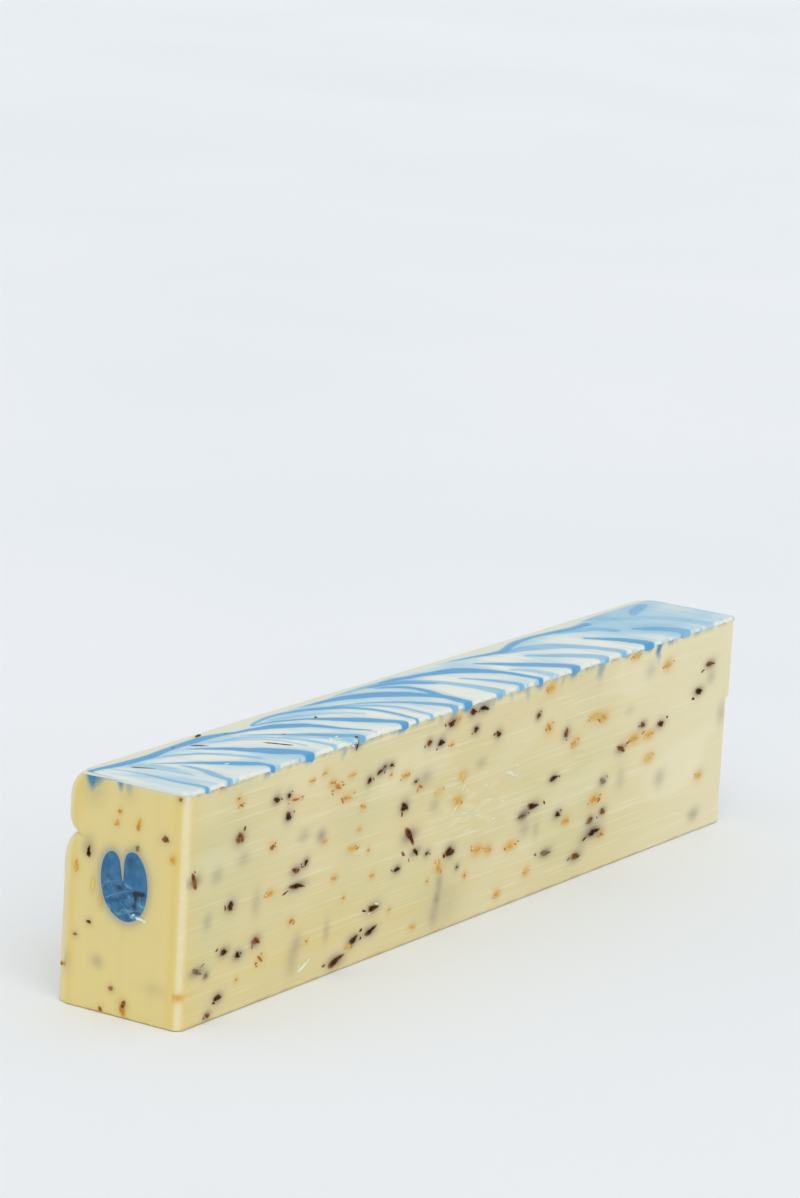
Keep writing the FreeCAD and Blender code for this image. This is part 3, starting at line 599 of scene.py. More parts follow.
torn = ease(ripples(hx, hz, 3, 31, narrow=1.6), -0.2, 0.7) * (1 - ease(hz, 37, 40))
near_y += 0.3 * torn * ease(1 - rings, 0.2, 0.4)[:, None] - 0.04 * scraped(hx, hz)
near_cap = np.stack([hx, near_y, hz], axis=-1)
far_cap = near_cap[::-1].copy()
far_cap[..., 1] = HEART_FAR_Y - 0.06 * (1 + ripples(far_cap[..., 0], far_cap[..., 2], 6, 34))
far_cap[..., 1] -= LEDGE_DEPTH * (1 - ease(far_cap[..., 2], LEDGE_LOW, LEDGE_HIGH))
heart_poles = np.array([
    [HEART_MIDDLE[0], near_y[0].mean(), HEART_MIDDLE[1]],
    [HEART_MIDDLE[0], HEART_FAR_Y - LEDGE_DEPTH, HEART_MIDDLE[1]],
])
heart = mesh_piece("heart_rod", *closed_skin(np.concatenate([near_cap, far_cap]), heart_poles))

x, y, z = points_of(heart).T
near = y < -160
dark = marks(x, z, [
    (7.4, 40.6, 2.6, 0.7, 1), (6.6, 38.6, 0.55, 2.2, 0.9), (5.6, 36.4, 0.9, 0.8, 0.7),
    (9.4, 40.9, 0.8, 0.8, 0.8), (4, 50.2, 1.4, 1.8, 0.55), (-3.8, 44.2, 1.2, 1, 0.4),
    (0.4, 41.4, 1.1, 1, 0.5), (2.8, 35.4, 1.8, 0.5, 0.4), (1.2, 33.8, 1.4, 0.5, 0.35),
])
dark += 0.35 * ease(ripples(x, z, 3, 31, narrow=1.6), 0.1, 0.8) * (1 - ease(z, 41, 44))
stain(heart, "dark_torn", near * dark)
x = x + HEART_SHIFT
scratch = 0.6 * scraped(x, z)
scratch += 0.9 * bell(z - 33.2 - 0.1 * (x - 8), 0.5) * ease(x, 4.6, 6) * (1 - ease(x, 9.8, 10.6))
scratch += 0.5 * bell(z - 42.6 + 0.3 * (x - 3), 0.5) * ease(x, 2.6, 3.4) * (1 - ease(x, 5.4, 6))
stain(heart, "pale_scratch", near * scratch)
blue_soap = Finish("heart_blue", 0.45, 0.4, glow=0.15, glow_radius=(0.4, 0.7, 1.0))
colour = blue_soap.blend(blue_soap.clouds(260, 4, 0.35, 0.65), (34, 98, 144), (58, 116, 154))
colour = blue_soap.blend(blue_soap.stained("pale_scratch"), colour, (126, 178, 202))
colour = blue_soap.blend(blue_soap.stained("dark_torn"), colour, (22, 34, 50))
blue_soap.relief(blue_soap.noise(1600, 4), 0.5, 0.0002)
blue_soap.lay_on(heart, colour)
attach(heart, "root")
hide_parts("heart_core")

# Seat of the heart: its blue bled a little into the cream, and the loaf's cut face lies back behind it.
x, y, z = points_of(loaf).T
beside = np.flatnonzero((y < CUT_END_TO_Y) & (np.abs(x - 2.5) < 14) & (np.abs(z - 42) < 16))
gap = np.full(len(x), 99.0)
to_edge = np.hypot(x[beside, None] - heart_edge[None, :, 0], z[beside, None] - heart_edge[None, :, 1])
gap[beside] = to_edge.min(axis=1)
stain(loaf, "blue_bleed", 0.34 * bell(gap, 1.4))
stain(loaf, "grey_depth", 0.18 * bell(gap, 2.2))


def round_middle(x, z):
    """Direction of places from the heart's middle, and their distance from it."""
    forward, upward = x - HEART_MIDDLE[0], z - HEART_MIDDLE[1]
    return np.arctan2(upward, forward), np.hypot(upward, forward)


edge_turn, edge_reach = round_middle(heart_edge[:, 0], heart_edge[:, 1])
order = np.argsort(edge_turn)
turn, from_middle = round_middle(x[beside], z[beside])
edge_there = np.interp(turn, edge_turn[order], edge_reach[order], period=2 * np.pi)
inside = np.zeros(len(x), dtype=bool)
inside[beside] = (from_middle < edge_there) & (gap[beside] > 1.5) & (z[beside] < 41)
seated = points_of(loaf)
seated[:, 1] += 1.0 * inside
move_points(loaf, seated)

# Swirled top: a thin pour of white soap with blue drawn through it by a stick, in sweeps that start along
# the left border and bend round to the planed side. One thin closed skin over the loaf, level with its top.
# Each streak is a strength and a line of places: along the loaf, across from the left, and width.
STREAKS = [
    (0.90, [(-2, 9.2, 3), (3, 9.8, 3), (12, 11.6, 4), (24, 12.6, 4.6), (36, 11.6, 3.8), (48, 11.2, 4.4),
            (57, 11.4, 4.8), (64, 12.8, 3.2), (70, 14.8, 1.8), (76, 16, 1.6)]),
    (0.95, [(68, 15, 0.8), (74, 15.8, 1.8), (80, 17.5, 3.2), (86, 20.2, 5), (92, 24.5, 4.6), (96, 30, 3),
            (98, 35, 2.2), (100.5, 40, 1.6), (103, 44, 1.2)]),
    (0.16, [(2, 17, 2.6), (5, 23, 4), (8.5, 29, 4.2), (11.5, 36, 4.4), (14.5, 44, 4.2)]),
    (0.60, [(6, 13, 0.8), (8, 20, 1.2), (8.6, 28, 1.4), (8.2, 36, 1.6), (9.6, 44.5, 2.4)]),
    (0.40, [(10, 13, 0.8), (15, 20, 1.2), (17.5, 28, 1.2), (18.5, 35, 1.2)]),
    (0.30, [(14, 15, 2), (18, 20, 2.4), (20, 27, 2.2)]),
    (0.60, [(25, 26, 1), (25.4, 31, 2.4), (24.5, 37, 3.4), (22, 44, 3.4)]),
    (0.85, [(20, 18.5, 0.8), (26, 23.5, 1.6), (32, 29, 3), (36.5, 34, 4.4), (40.5, 38.5, 4.8),
            (43.8, 42.5, 3.4), (44.6, 45, 2.6)]),
    (0.35, [(76, 29, 1.6), (81, 33, 3.4), (85, 38, 5), (88, 44, 5)]),
    (0.50, [(30, 15.5, 0.8), (38, 20, 1.2), (44, 25, 1.2), (48, 32, 1), (50, 38, 0.8)]),
    (0.40, [(24, 14.5, 1.2), (34, 18, 1.8), (41, 23, 2.6), (46, 30, 2.4), (49, 39, 2)]),
    (1.00, [(42, 16, 1), (47, 20.5, 2), (51.5, 25, 3.2), (55.5, 31, 5.4), (59, 36, 7.6),
            (62.4, 40.5, 6.4), (65, 45, 4)]),
    (0.42, [(54, 16.5, 1.2), (62, 20, 1.8), (68.5, 25.5, 1.8), (72, 32, 1.6), (72.5, 40, 1.4)]),
    (0.48, [(60, 17.5, 1.2), (67, 20.5, 1.8), (73, 27, 2.2), (77, 34, 2.4), (78.6, 40, 2.4),
            (78.8, 44.5, 2.6)]),
    (0.70, [(68, 18, 1), (76, 25, 2.2), (82, 31, 3), (88, 37.5, 3.8), (94, 44.5, 4.8)]),
    (0.95, [(80, 13.6, 1), (90, 16, 1.4), (98.5, 20.5, 1.8), (104, 25, 3.2), (108, 30, 5.2),
            (112.5, 35.5, 6.2), (116.5, 41, 5), (119, 45, 3.8)]),
    (0.75, [(80, 13.4, 1), (84, 11.8, 1.8), (91, 11, 2.2), (99, 11.4, 2.2), (107, 13.4, 2.6),
            (114.5, 17, 3.2), (121.5, 22.5, 3.4), (125.5, 29, 3.2), (126.6, 36, 2.6), (126, 44, 2.2)]),
    (0.35, [(90, 14, 2.4), (102, 17.5, 3), (113, 23, 3), (119, 30, 2.4)]),
    (0.55, [(110, 14.5, 1.2), (120, 19, 1.8), (128, 24.5, 2.4), (133, 31, 2.6), (134.6, 37, 2.4),
            (134, 44, 2.4)]),
    (0.70, [(120, 18, 1), (130, 22.5, 1.4), (137, 27.5, 2), (142.5, 33, 3), (146, 38.5, 4.2),
            (148.5, 44, 4.4)]),
    (1.00, [(110, 10.4, 1), (118, 11.4, 2.2), (126, 12.8, 3.6), (133, 14.8, 5), (140.5, 18, 6.4),
            (147, 22.5, 7.2), (152, 28, 5.8), (155.2, 33.5, 4.8), (157, 38.5, 4.6), (156.5, 45, 4.8)]),
    (0.90, [(150, 14.5, 1), (155, 17.5, 2.2), (158.8, 22, 3.4), (159.6, 28, 3.6), (157.8, 34, 3.8)]),
    (0.55, [(132, 10.2, 1.4), (142, 10.2, 3), (152, 11.4, 5), (161, 14.5, 6), (168, 20, 5.2),
            (172.5, 26, 4.8), (175, 33, 5), (176.4, 44, 6.4)]),
    (0.80, [(150, 12.5, 1.4), (158, 14.4, 3), (165, 18.6, 3.4), (169.5, 24, 2.4)]),
    (1.00, [(158, 10.8, 1.6), (167, 12.8, 3), (176, 15.4, 3.6), (184, 17.6, 5.2), (190.5, 21, 7.2),
            (195.5, 26, 6.6), (198.6, 31.5, 4.4), (200.3, 37, 3.2), (201.4, 44.5, 3)]),
    (0.65, [(182, 27, 1.2), (185.5, 32.5, 2.6), (188, 37, 3.8), (189.6, 44, 3.8)]),
    (0.80, [(203, 19.5, 1.4), (208.5, 25, 3.6), (212.6, 30.5, 5.4), (216.8, 35, 6.2), (220.5, 39.5, 6),
            (224, 45, 5.4)]),
    (0.40, [(205, 33, 2.4), (208.6, 39, 4.8), (209.6, 44, 5.4)]),
    (0.75, [(200, 10.8, 1.4), (214, 14.6, 2.6), (225, 16.4, 3.2), (234, 13.8, 3.6), (243, 11.8, 4.2),
            (252, 12.2, 4.2), (262, 13.6, 3.6), (270, 15.4, 3), (281, 16.2, 4)]),
    (0.55, [(222, 17.5, 3), (231, 19.6, 5.4), (239.5, 22.4, 8), (246.6, 27, 7.4), (251.4, 34, 5.4),
            (255.4, 44, 5.4)]),
    (0.55, [(226, 26, 2.4), (231.5, 31, 4.2), (236.5, 36, 5.2), (241, 41, 6.4), (243, 45, 6.4)]),
    (0.90, [(263, 27, 1.8), (266.4, 31.5, 3.4), (270, 37, 6), (272.4, 44, 6.4)]),
    (0.50, [(262, 15.6, 3), (271, 18.8, 5), (277.6, 22.6, 5.4), (280.6, 28, 4.6)]),
    (0.55, [(288, 32, 3), (294, 37.5, 6), (297.5, 44, 7.6)]),
    (0.30, [(296, 20, 5), (306, 26, 6), (311, 33.5, 6), (314, 44, 7)]),
    (0.45, [(306, 20, 3), (314, 17, 5), (322, 14.5, 4)]),
]
# Where the white ends beside the cream: along the loaf, and across from the left.
BORDER = [
    (0, 7.8), (12, 9.2), (24, 10.2), (36, 9.6), (48, 9), (57, 8.8), (64, 10.8), (71, 13.4), (76, 13.6),
    (82, 11.4), (92, 9.4), (104, 9.6), (120, 10), (145, 8.8), (170, 8.4), (186, 9), (205, 10.2),
    (218, 12.4), (228, 13.2), (238, 10), (250, 9.4), (266, 11.4), (278, 12.4), (290, 10), (310, 9.4),
    (332, 9.6),
]
LEFT_OF_TOP = -22.1
LAST_ACROSS = 44.6


def swept_line(places, steps=12):
    """A smooth open line through the places, with its width: cubics, with the ends run straight on."""
    knots = np.array(places, dtype=float)
    knots = np.concatenate([2 * knots[:1] - knots[1:2], knots, 2 * knots[-1:] - knots[-2:-1]])
    curve = cubics(knots[:-3], knots[1:-2], knots[2:-1], knots[3:], steps)
    return np.concatenate([curve, knots[-2:-1]])


def streak_amount(u, v, line):
    """How much blue a streak leaves at places: 1 in its middle, easing to 0 a little beyond its edge.

    A faint haze reaches out to three half widths. A streak thinner than the grid is made paler instead.
    """
    amount = np.zeros(u.shape)
    low_u, high_u = line[:, 0].min() - 12, line[:, 0].max() + 12
    inside = np.flatnonzero((u > low_u) & (u < high_u))
    apart = np.hypot(u[inside, None] - line[None, :, 0], v[inside, None] - line[None, :, 1])
    half = np.clip(line[:, 2] / 2, 0.5, None)
    scaled = apart / half
    nearest = scaled.argmin(axis=1)
    distance = scaled[np.arange(len(inside)), nearest]
    thin = np.clip(line[nearest, 2] / 1.6, 0, 1)
    amount[inside] = thin * (1 - ease(distance, 0.55, 1.2)) + 0.2 * thin * (1 - ease(distance, 0.9, 3.2))
    return np.clip(amount, 0, 1)


SKIN_TOP = 75.955
SKIN_UNDER = 74.5
SKIN_END = 165.95
SKIN_WORN = 0.3
LIP_RADIUS = 1.1
LIP_X = 23.81
LIP_Z = 74.85
PLACES_ACROSS = 108
over_edge = np.radians([8, 22, 36, 50, 64, 78, 90])
across_top = np.linspace(-15.6, 23.7, PLACES_ACROSS)
across_under = np.array([24.0, 12.0, 0.0, -12.0, -15.4])
profile_x = np.concatenate([across_top, LIP_X + LIP_RADIUS * np.sin(over_edge), across_under])
profile_z = np.concatenate([
    np.full(PLACES_ACROSS, SKIN_TOP), LIP_Z + LIP_RADIUS * np.cos(over_edge),
    np.full(len(across_under), SKIN_UNDER),
])
inwards = np.concatenate([
    [0.0, 0.06, 0.18, 0.4], np.linspace(0.9, 331.1, 700), [331.6, 331.82, 331.94, LENGTH],
])
grid_x = np.broadcast_to(profile_x, (len(inwards), len(profile_x))).copy()
grid_d = np.broadcast_to(inwards[:, None], grid_x.shape).copy()
grid_z = np.broadcast_to(profile_z, grid_x.shape).copy()
short = np.minimum(grid_d, LENGTH - grid_d)
flat = corner_flat(grid_x, grid_d)
grid_x -= flat
worn = SKIN_WORN - arc(SKIN_WORN, np.clip(SKIN_WORN - short, 0, SKIN_WORN))
on_top = grid_z > 75.0
grid_z -= worn * on_top
edge_of_cream = swept_line(BORDER, 10)
border_x = LEFT_OF_TOP + np.interp(grid_d, edge_of_cream[:, 0], edge_of_cream[:, 1])
border_x += 0.35 * ripples(grid_d, grid_d * 0, 9, 51)
grid_z -= on_top * 0.55 * ease(border_x - grid_x, 0.0, 1.3)
grid_z -= on_top * np.clip(0.014 * (1 + ripples(grid_d, grid_x, 5, 52)), 0, 0.045)
grid_z -= sunk_border(grid_d, grid_x) * ease(grid_z, 74.95, 75.3)
grid_y = -SKIN_END + grid_d * (2 * SKIN_END / LENGTH)
rows = np.stack([grid_x, grid_y, grid_z], axis=-1)
swirl_poles = np.array([[4.0, -SKIN_END, 75.3], [4.0, SKIN_END, 75.3]])
swirl_points, swirl_faces = closed_skin(rows, swirl_poles, turned=True)
swirl = mesh_piece("swirled_top", swirl_points, swirl_faces)

u = np.clip(swirl_points[:, 1] + HALF_LENGTH, 0, LENGTH)
v = np.minimum(swirl_points[:, 0] - LEFT_OF_TOP, LAST_ACROSS)
u_shaken = u + 0.35 * ripples(u, v, 14, 53) + 0.12 * ripples(u, v, 4, 54)
v_shaken = v + 0.25 * ripples(u, v, 12, 55)
blue = np.zeros(len(u))
for strength, places in STREAKS:
    streak = strength * streak_amount(u_shaken, v_shaken, swept_line(places))
    blue = 1 - (1 - blue) * (1 - streak)
haze = 0.08 + 0.14 * ease(ripples(u, v, 30, 56), -0.3, 0.9)
haze += 0.30 * ease(u, 262, 292) * (1 - 0.4 * ease(v, 36, 44))
haze += 0.05 * (1 - ease(u, 20, 70)) + 0.12 * (1 - ease(v, 16, 22)) * ease(u, 20, 40)
haze -= 0.12 * ease(u, 316, 330)
haze += 0.07 * ease(v, 34, 40) * ease(u, 20, 30) * (1 - ease(u, 90, 130))
bent = u - 13 * arc(1, 1 - np.clip((v - 8) / 38, 0, 1))
combed = 0.10 * ease(ripples(bent, v * 0.1, 4.5, 57), 0.0, 0.8)
blue = 1 - (1 - blue) * (1 - haze) * (1 - combed)

# Lip: the white hangs over the planed side in small drips, longest where a streak of blue runs over it.
LAST_ON_LIP = PLACES_ACROSS + 4
STEP_ALONG = 0.47
skin_x, skin_z = swirl_points[:, 0], swirl_points[:, 2]
hanging = (skin_x > 24.2) & (skin_z > 74.6)
lip = ease(skin_x, 24.2, 24.9) * (skin_z > 74.6)
teeth = lip * ease(ripples(u, u * 0, 3.6, 63), 0.2, 0.7)
stain(swirl, "blue", np.clip(blue - 0.3 * lip * (1 - blue) + 0.5 * teeth * (1 - blue), 0, 1))
blue_at_lip = blue[:-2].reshape(len(inwards), -1)[:, LAST_ON_LIP]
spread = bell(np.arange(-6, 7) * STEP_ALONG, 1.3)
heavy = np.convolve(blue_at_lip, spread / spread.sum(), mode="same") ** 2
sagging = np.append(np.repeat(1.3 * heavy, len(profile_x)), [0, 0])
sagging = sagging + 0.14 * (1 + ripples(u, u * 0, 3.2, 60)) + 0.3 * teeth
draped = points_of(swirl)
draped[:, 2] -= hanging * sagging * ease(75.7 - skin_z, 0.0, 0.85)
over_lip = np.clip(draped[:, 2] - LIP_Z, 0, LIP_RADIUS - 0.01)
rounded = LIP_X + 0.02 + arc(LIP_RADIUS, over_lip) - np.append(flat.ravel(), [0, 0])
draped[:, 0] = np.where(hanging, np.maximum(draped[:, 0], rounded), draped[:, 0])
move_points(swirl, draped)
stain(swirl, "cream", 1 - ease(v - np.interp(u, edge_of_cream[:, 0], edge_of_cream[:, 1]), -0.3, 1.6))
top_soap = Finish("swirl_soap", 0.4, 0.4, glow=0.15, glow_radius=(1.0, 0.9, 0.8))
colour = top_soap.blend(top_soap.clouds(60, 3, 0.35, 0.65), (234, 234, 220), (226, 230, 221))
amount = top_soap.stained("blue")
colour = top_soap.blend(top_soap.fade(amount, 0.08, 0.5), colour, (164, 204, 220))
colour = top_soap.blend(top_soap.fade(amount, 0.40, 0.92), colour, (72, 154, 202))
colour = top_soap.blend(top_soap.stained("cream"), colour, (222, 224, 202))
top_soap.relief(top_soap.noise(700, 3), 0.2, 0.0002)
top_soap.lay_on(swirl, colour)
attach(swirl, "root")
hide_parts("swirl_white", "swirl_veins")

# Lavender buds: dried buds stirred into the soap and cut through by the plane or the knife.
# Each is a flat lump with an uneven outline, set in the face, and shows nearly black, brown or slate.
# Place along the face, distance below the top, length, width, turn in degrees, and shade from 0 to 1.
PLANED_BUDS = [
    (47.5, 11.5, 3.6, 2.1, -10, 0.1), (54.3, 11.5, 2.4, 1.5, -30, 0.1), (54.5, 18.3, 3.5, 2.8, 0, 0.1),
    (25, 41, 4, 2.8, -35, 0.1), (60, 37, 4.6, 2, -8, 0.4), (65.5, 35.5, 2.5, 1.9, 20, 0.1),
    (61, 42.3, 9, 1.8, -13, 0.1), (99.5, 15.5, 2.6, 2.2, -20, 0.2), (105.5, 13.7, 3.2, 1.4, 15, 0.1),
    (112, 12.8, 2.5, 1, 0, 0.2), (22.5, 55.3, 4.6, 2, 8, 0.1), (30, 58, 3.6, 1.8, -20, 0.1),
    (8.5, 58.5, 6, 1.5, -22, 0.7), (13.5, 60.8, 1.8, 1.2, 0, 0.8), (20.3, 69.5, 4, 2.2, 0, 0.1),
    (15, 74, 2.6, 1.6, 0, 0.4), (85, 72.4, 8.4, 3, 10, 0.3), (95, 67.5, 6, 2.2, 10, 0.1),
    (104.5, 66.8, 6.6, 2.2, 12, 0.1), (105.5, 59.3, 6.5, 2.2, -10, 0.1), (134, 9.5, 3.2, 2, -10, 0.5),
    (141, 10.8, 4.6, 2.2, -15, 0.1), (147, 5.3, 5.2, 2.2, 5, 0.3), (159.5, 3.8, 4, 2.2, -10, 0.1),
    (166.5, 3.8, 6, 2, -15, 0.1), (162, 10.3, 3.4, 2, -10, 0.3), (176.3, 14.5, 3.3, 2, -5, 0.2),
    (127, 21.2, 2, 0.7, 0, 0.2), (121, 28.5, 4.6, 3.4, -40, 0.26), (125, 39, 8, 3.3, -55, 0.3),
    (129, 45.3, 5, 1.5, -35, 0.2), (136, 47.3, 2.3, 1, 0, 0.3), (118.5, 49, 3.6, 1.8, 0, 0.1),
    (150, 49.7, 5.4, 3.8, -10, 0.28), (155, 56, 1.2, 0.8, 0, 0.2), (201, 44.3, 8, 2.1, 0, 0.2),
    (194.5, 46.5, 5, 1.5, 0, 0.6), (213.5, 37, 5, 2, 0, 0.2), (220, 22.5, 3.6, 2.8, -60, 0.5),
    (217.5, 50.5, 4, 2, -10, 0.2), (211, 62.8, 7, 2, -3, 0.7), (201.3, 12.8, 2.8, 2, -10, 0.5),
    (257.5, 35, 5, 2.2, -25, 0.4), (246.5, 44.5, 4, 2, -10, 0.8), (247.5, 55.5, 4, 2, -10, 0.5),
    (239.5, 57, 4, 2, 0, 0.6), (242, 61.8, 8, 2.4, 0, 0.1), (231, 68.2, 7, 2.2, 0, 0.4),
    (284, 31, 5, 2, -15, 0.3), (271.5, 29, 4, 1.8, -5, 0.4), (316.5, 15, 6, 2, -8, 0.4),
    (309.5, 23.8, 6, 2.3, -20, 0.2), (91.4, 2.35, 3.2, 1.1, 60, 0.1), (108.2, 12.6, 1.6, 0.9, 0, 0.3),
    (5, 29, 5.4, 2.4, -65, 0.55), (28.5, 20, 4.8, 3.2, -50, 0.5), (39.5, 55.5, 4.4, 2.6, -30, 0.5),
]
# On the cut end the first two numbers are x and height.
CUT_END_BUDS = [
    (-11.8, 50.3, 3.4, 1.9, 80, 0.1), (17, 59.9, 3, 2.2, -50, 0.5), (-10.7, 28, 1.7, 1.4, 0, 0.5),
    (-15.8, 23, 1.4, 1.1, 0, 1), (-1.3, 8.5, 2, 1.6, 60, 1), (22, 73.4, 1.6, 1.2, 0, 1),
    (3.6, 4.4, 2.6, 1.8, 80, 0.5), (6.6, 55, 1.8, 1.6, 30, 0.7),
]
# On the crown they are the places along the loaf and across from the left.
TOP_BUDS = [
    (58, 8.6, 3.4, 1.6, 20, 0.25), (48, 16, 5, 2, -50, 0.45), (14, 19, 7, 1.6, -62, 0.7),
    (68, 33, 8.4, 2, -65, 0.45), (104, 22, 2.6, 1.2, 30, 0.5), (79, 27, 1.4, 1, 0, 0.5),
    (92.8, 45.5, 2.6, 1.2, 66, 0.1), (40.5, 11.6, 1.4, 0.8, 0, 0.5), (66, 13.4, 1.6, 0.8, 0, 0.5),
]


def scattered(count, first, long, wide):
    """Even scatter over a hidden face, in shares of it: steps by the golden ratio and the plastic number."""
    step = np.arange(count)
    along = 0.05 + 0.9 * ((first + step * 0.618034) % 1)
    aside = 0.10 + 0.78 * ((first + step * 0.754878) % 1)
    swell = 0.8 + 0.45 * ((step * 0.618034 * 0.754878) % 1)
    return np.stack([along, aside, long * swell, wide * swell, step * 137.5, (step * 0.37) % 0.8], axis=-1)


# The faces that cut lumps sit on: a corner of the face, the direction along it, up it and out of it, whether
# the second number counts up (1) or down (-1), and the length and height that scattered shares are of.
FACES = {
    "planed side": ((PLANED_X, -HALF_LENGTH, HEIGHT), (0, 1, 0), (0, 0, 1), (1, 0, 0), -1, (1, 1)),
    "cut end": ((0, CUT_Y, 0), (1, 0, 0), (0, 0, 1), (0, -1, 0), 1, (1, 1)),
    "crown": ((LEFT_OF_TOP, -HALF_LENGTH, 75.93), (0, 1, 0), (-1, 0, 0), (0, 0, 1), -1, (1, 1)),
    "cast side": ((-24.7, HALF_LENGTH, 0), (0, -1, 0), (0, 0, 1), (-1, 0, 0), 1, (LENGTH, 45)),
    "far end": ((HALF_WIDTH, 163.75, 0), (-1, 0, 0), (0, 0, 1), (0, 1, 0), 1, (50, 46)),
    "far brow": ((HALF_WIDTH, 165.75, 46.5), (-1, 0, 0), (0, 0, 1), (0, 1, 0), 1, (50, 29)),
}


def on_face(name, places):
    """Middle, row, direction along, direction up and way out of each place on a face.

    The middle is the corner, plus the place times the way along, plus or less the level times the way up.
    """
    corner, along, upward, out, sense, size = FACES[name]
    rows = np.array(places, dtype=float)
    rows[:, :2] *= size
    middle = corner + rows[:, :1] * np.array(along) + sense * rows[:, 1:2] * np.array(upward)
    return middle, rows, along, upward, out


def with_crumbs(rows, count, rng):
    """The places and, beside each, a number of crumbs a sixth to a half its size, along its length."""
    crumbs = np.repeat(rows, count, axis=0)
    many = len(crumbs)
    turn = np.radians(crumbs[:, 4])
    forward = crumbs[:, 2] * rng.uniform(0.45, 0.95, many) * rng.choice([-1, 1], many)
    aside = crumbs[:, 3] * rng.uniform(-0.7, 0.7, many)
    crumbs[:, 0] += forward * np.cos(turn) - aside * np.sin(turn)
    crumbs[:, 1] += forward * np.sin(turn) + aside * np.cos(turn)
    crumbs[:, 2] *= rng.uniform(0.16, 0.42, many)
    crumbs[:, 3] *= rng.uniform(0.25, 0.5, many)
    crumbs[:, 4] += rng.uniform(-50, 50, many)
    crumbs[:, 1] = np.clip(crumbs[:, 1], 1.4, 74.5)
    crumbs[:, 5] = np.clip(crumbs[:, 5] + rng.uniform(-0.1, 0.45, many), 0, 0.9)
    return np.concatenate([rows, crumbs])


LUMP_ROUND = 12
LUMP_RINGS = 4


def cut_lumps(groups, seed, ribs, proud, deep):
    """Points, faces, shades and rims of cut lumps, each a closed shell of four rings between two poles.

    The outline is an ellipse, fuller at one end, whose reach two seeded sines and chance change, together by
    up to two and a half times the ribs. The cut face stands slightly proud and sinks to its rim, and the
    underside is a bowl. A rim is 0 in the middle of the cut face and 1 from its edge down.
    """
    rng = np.random.default_rng(seed)
    around = np.linspace(0, 2 * np.pi, LUMP_ROUND, endpoint=False)
    shares = np.array([0.0, 0.5, 0.96, 1.1, 0.7, 0.0])
    heights = np.array([1.0, 0.95, 0.6, -0.5, -1.0, -1.0])
    rise = np.where(heights > 0, heights * proud, heights * deep)
    all_lumps, all_shades = [], []
    for middle, rows, along, upward, out in groups:
        along, upward, out = (np.array(axis, dtype=float) for axis in (along, upward, out))
        many = len(rows)
        phase = rng.uniform(0, 2 * np.pi, (many, 1))
        uneven = (1 + ribs * np.sin(2 * around + phase) + 0.7 * ribs * np.sin(3 * around + 2.3 * phase)
                  + rng.uniform(-ribs, ribs, (many, LUMP_ROUND)) * 0.8)
        forward = 0.5 * rows[:, 2, None] * np.cos(around) * uneven
        aside = 0.5 * rows[:, 3, None] * np.sin(around) * (1 - 0.2 * np.cos(around)) * uneven
        turn = np.radians(rows[:, 4, None])
        first = forward * np.cos(turn) - aside * np.sin(turn)
        second = forward * np.sin(turn) + aside * np.cos(turn)
        flatwise = first[:, None, :, None] * along + second[:, None, :, None] * upward
        lump = middle[:, None, None] + shares[None, :, None, None] * flatwise
        all_lumps.append(lump + rise[None, :, None, None] * out)
        all_shades.append(rows[:, 5])
    lumps = np.concatenate(all_lumps)
    many = len(lumps)
    on_rings = LUMP_RINGS * LUMP_ROUND
    rings = lumps[:, 1:-1].reshape(many, on_rings, 3)
    points = np.concatenate([rings, lumps[:, :1, 0], lumps[:, -1:, 0]], axis=1)
    ring = np.arange(on_rings).reshape(LUMP_RINGS, LUMP_ROUND)
    ring = np.concatenate([ring, ring[:, :1]], axis=1)
    pole = np.full(LUMP_ROUND, on_rings)
    top_fan = np.stack([pole, ring[0, :-1], ring[0, 1:], ring[0, 1:]], axis=-1)
    low_fan = np.stack([pole + 1, ring[-1, 1:], ring[-1, :-1], ring[-1, :-1]], axis=-1)
    one = np.concatenate([grid_faces(ring), top_fan, low_fan])
    each = on_rings + 2
    faces = (one[None] + each * np.arange(many)[:, None, None]).reshape(-1, 4)
    rims = np.tile(np.concatenate([np.repeat([0.0, 1.0, 1.0, 1.0], LUMP_ROUND), [0.0, 1.0]]), many)
    return points.reshape(-1, 3), faces, np.repeat(np.concatenate(all_shades), each), rims


chance = np.random.default_rng(62)
bud_points, bud_faces, bud_shades, bud_rims = cut_lumps([
    on_face("planed side", with_crumbs(np.array(PLANED_BUDS), 1, chance)),
    on_face("cut end", CUT_END_BUDS),
    on_face("crown", TOP_BUDS),
    on_face("cast side", scattered(12, 0.31, 4.6, 2.1)),
    on_face("far end", scattered(3, 0.2, 4.2, 2.1)),
    on_face("far brow", scattered(1, 0.6, 4.2, 2.1)),
], 61, ribs=0.2, proud=0.06, deep=0.9)
buds = mesh_piece("cut_buds", bud_points, bud_faces)
stain(buds, "shade", bud_shades)
stain(buds, "rim", bud_rims)
dried = Finish("dried_bud", 0.8, 0.12)
speckle = dried.clouds(1100, 3, 0.42, 0.6)
shade = dried.stained("shade")
colour = dried.blend(speckle, (20, 12, 12), (84, 46, 28))
brown = dried.blend(speckle, (96, 54, 28), (148, 96, 54))
colour = dried.blend(dried.fade(shade, 0.22, 0.5), colour, brown)
colour = dried.blend(dried.fade(shade, 0.55, 0.85), colour, (134, 124, 116))
colour = dried.blend(dried.fade(shade, 0.9, 1.0), colour, (164, 112, 62))
colour = dried.blend(dried.fade(dried.stained("rim"), 0.25, 0.95, 0.8), colour, (168, 132, 84))
dried.relief(dried.noise(2500, 2), 0.5, 0.0003)
dried.lay_on(buds, colour)
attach(buds, "root")
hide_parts("lavender_buds")


def halo(reach):
    """1 at the middle of a mark, three tenths at a reach of 1, and almost nothing at 2."""
    return np.exp(-1.2 * reach**2)


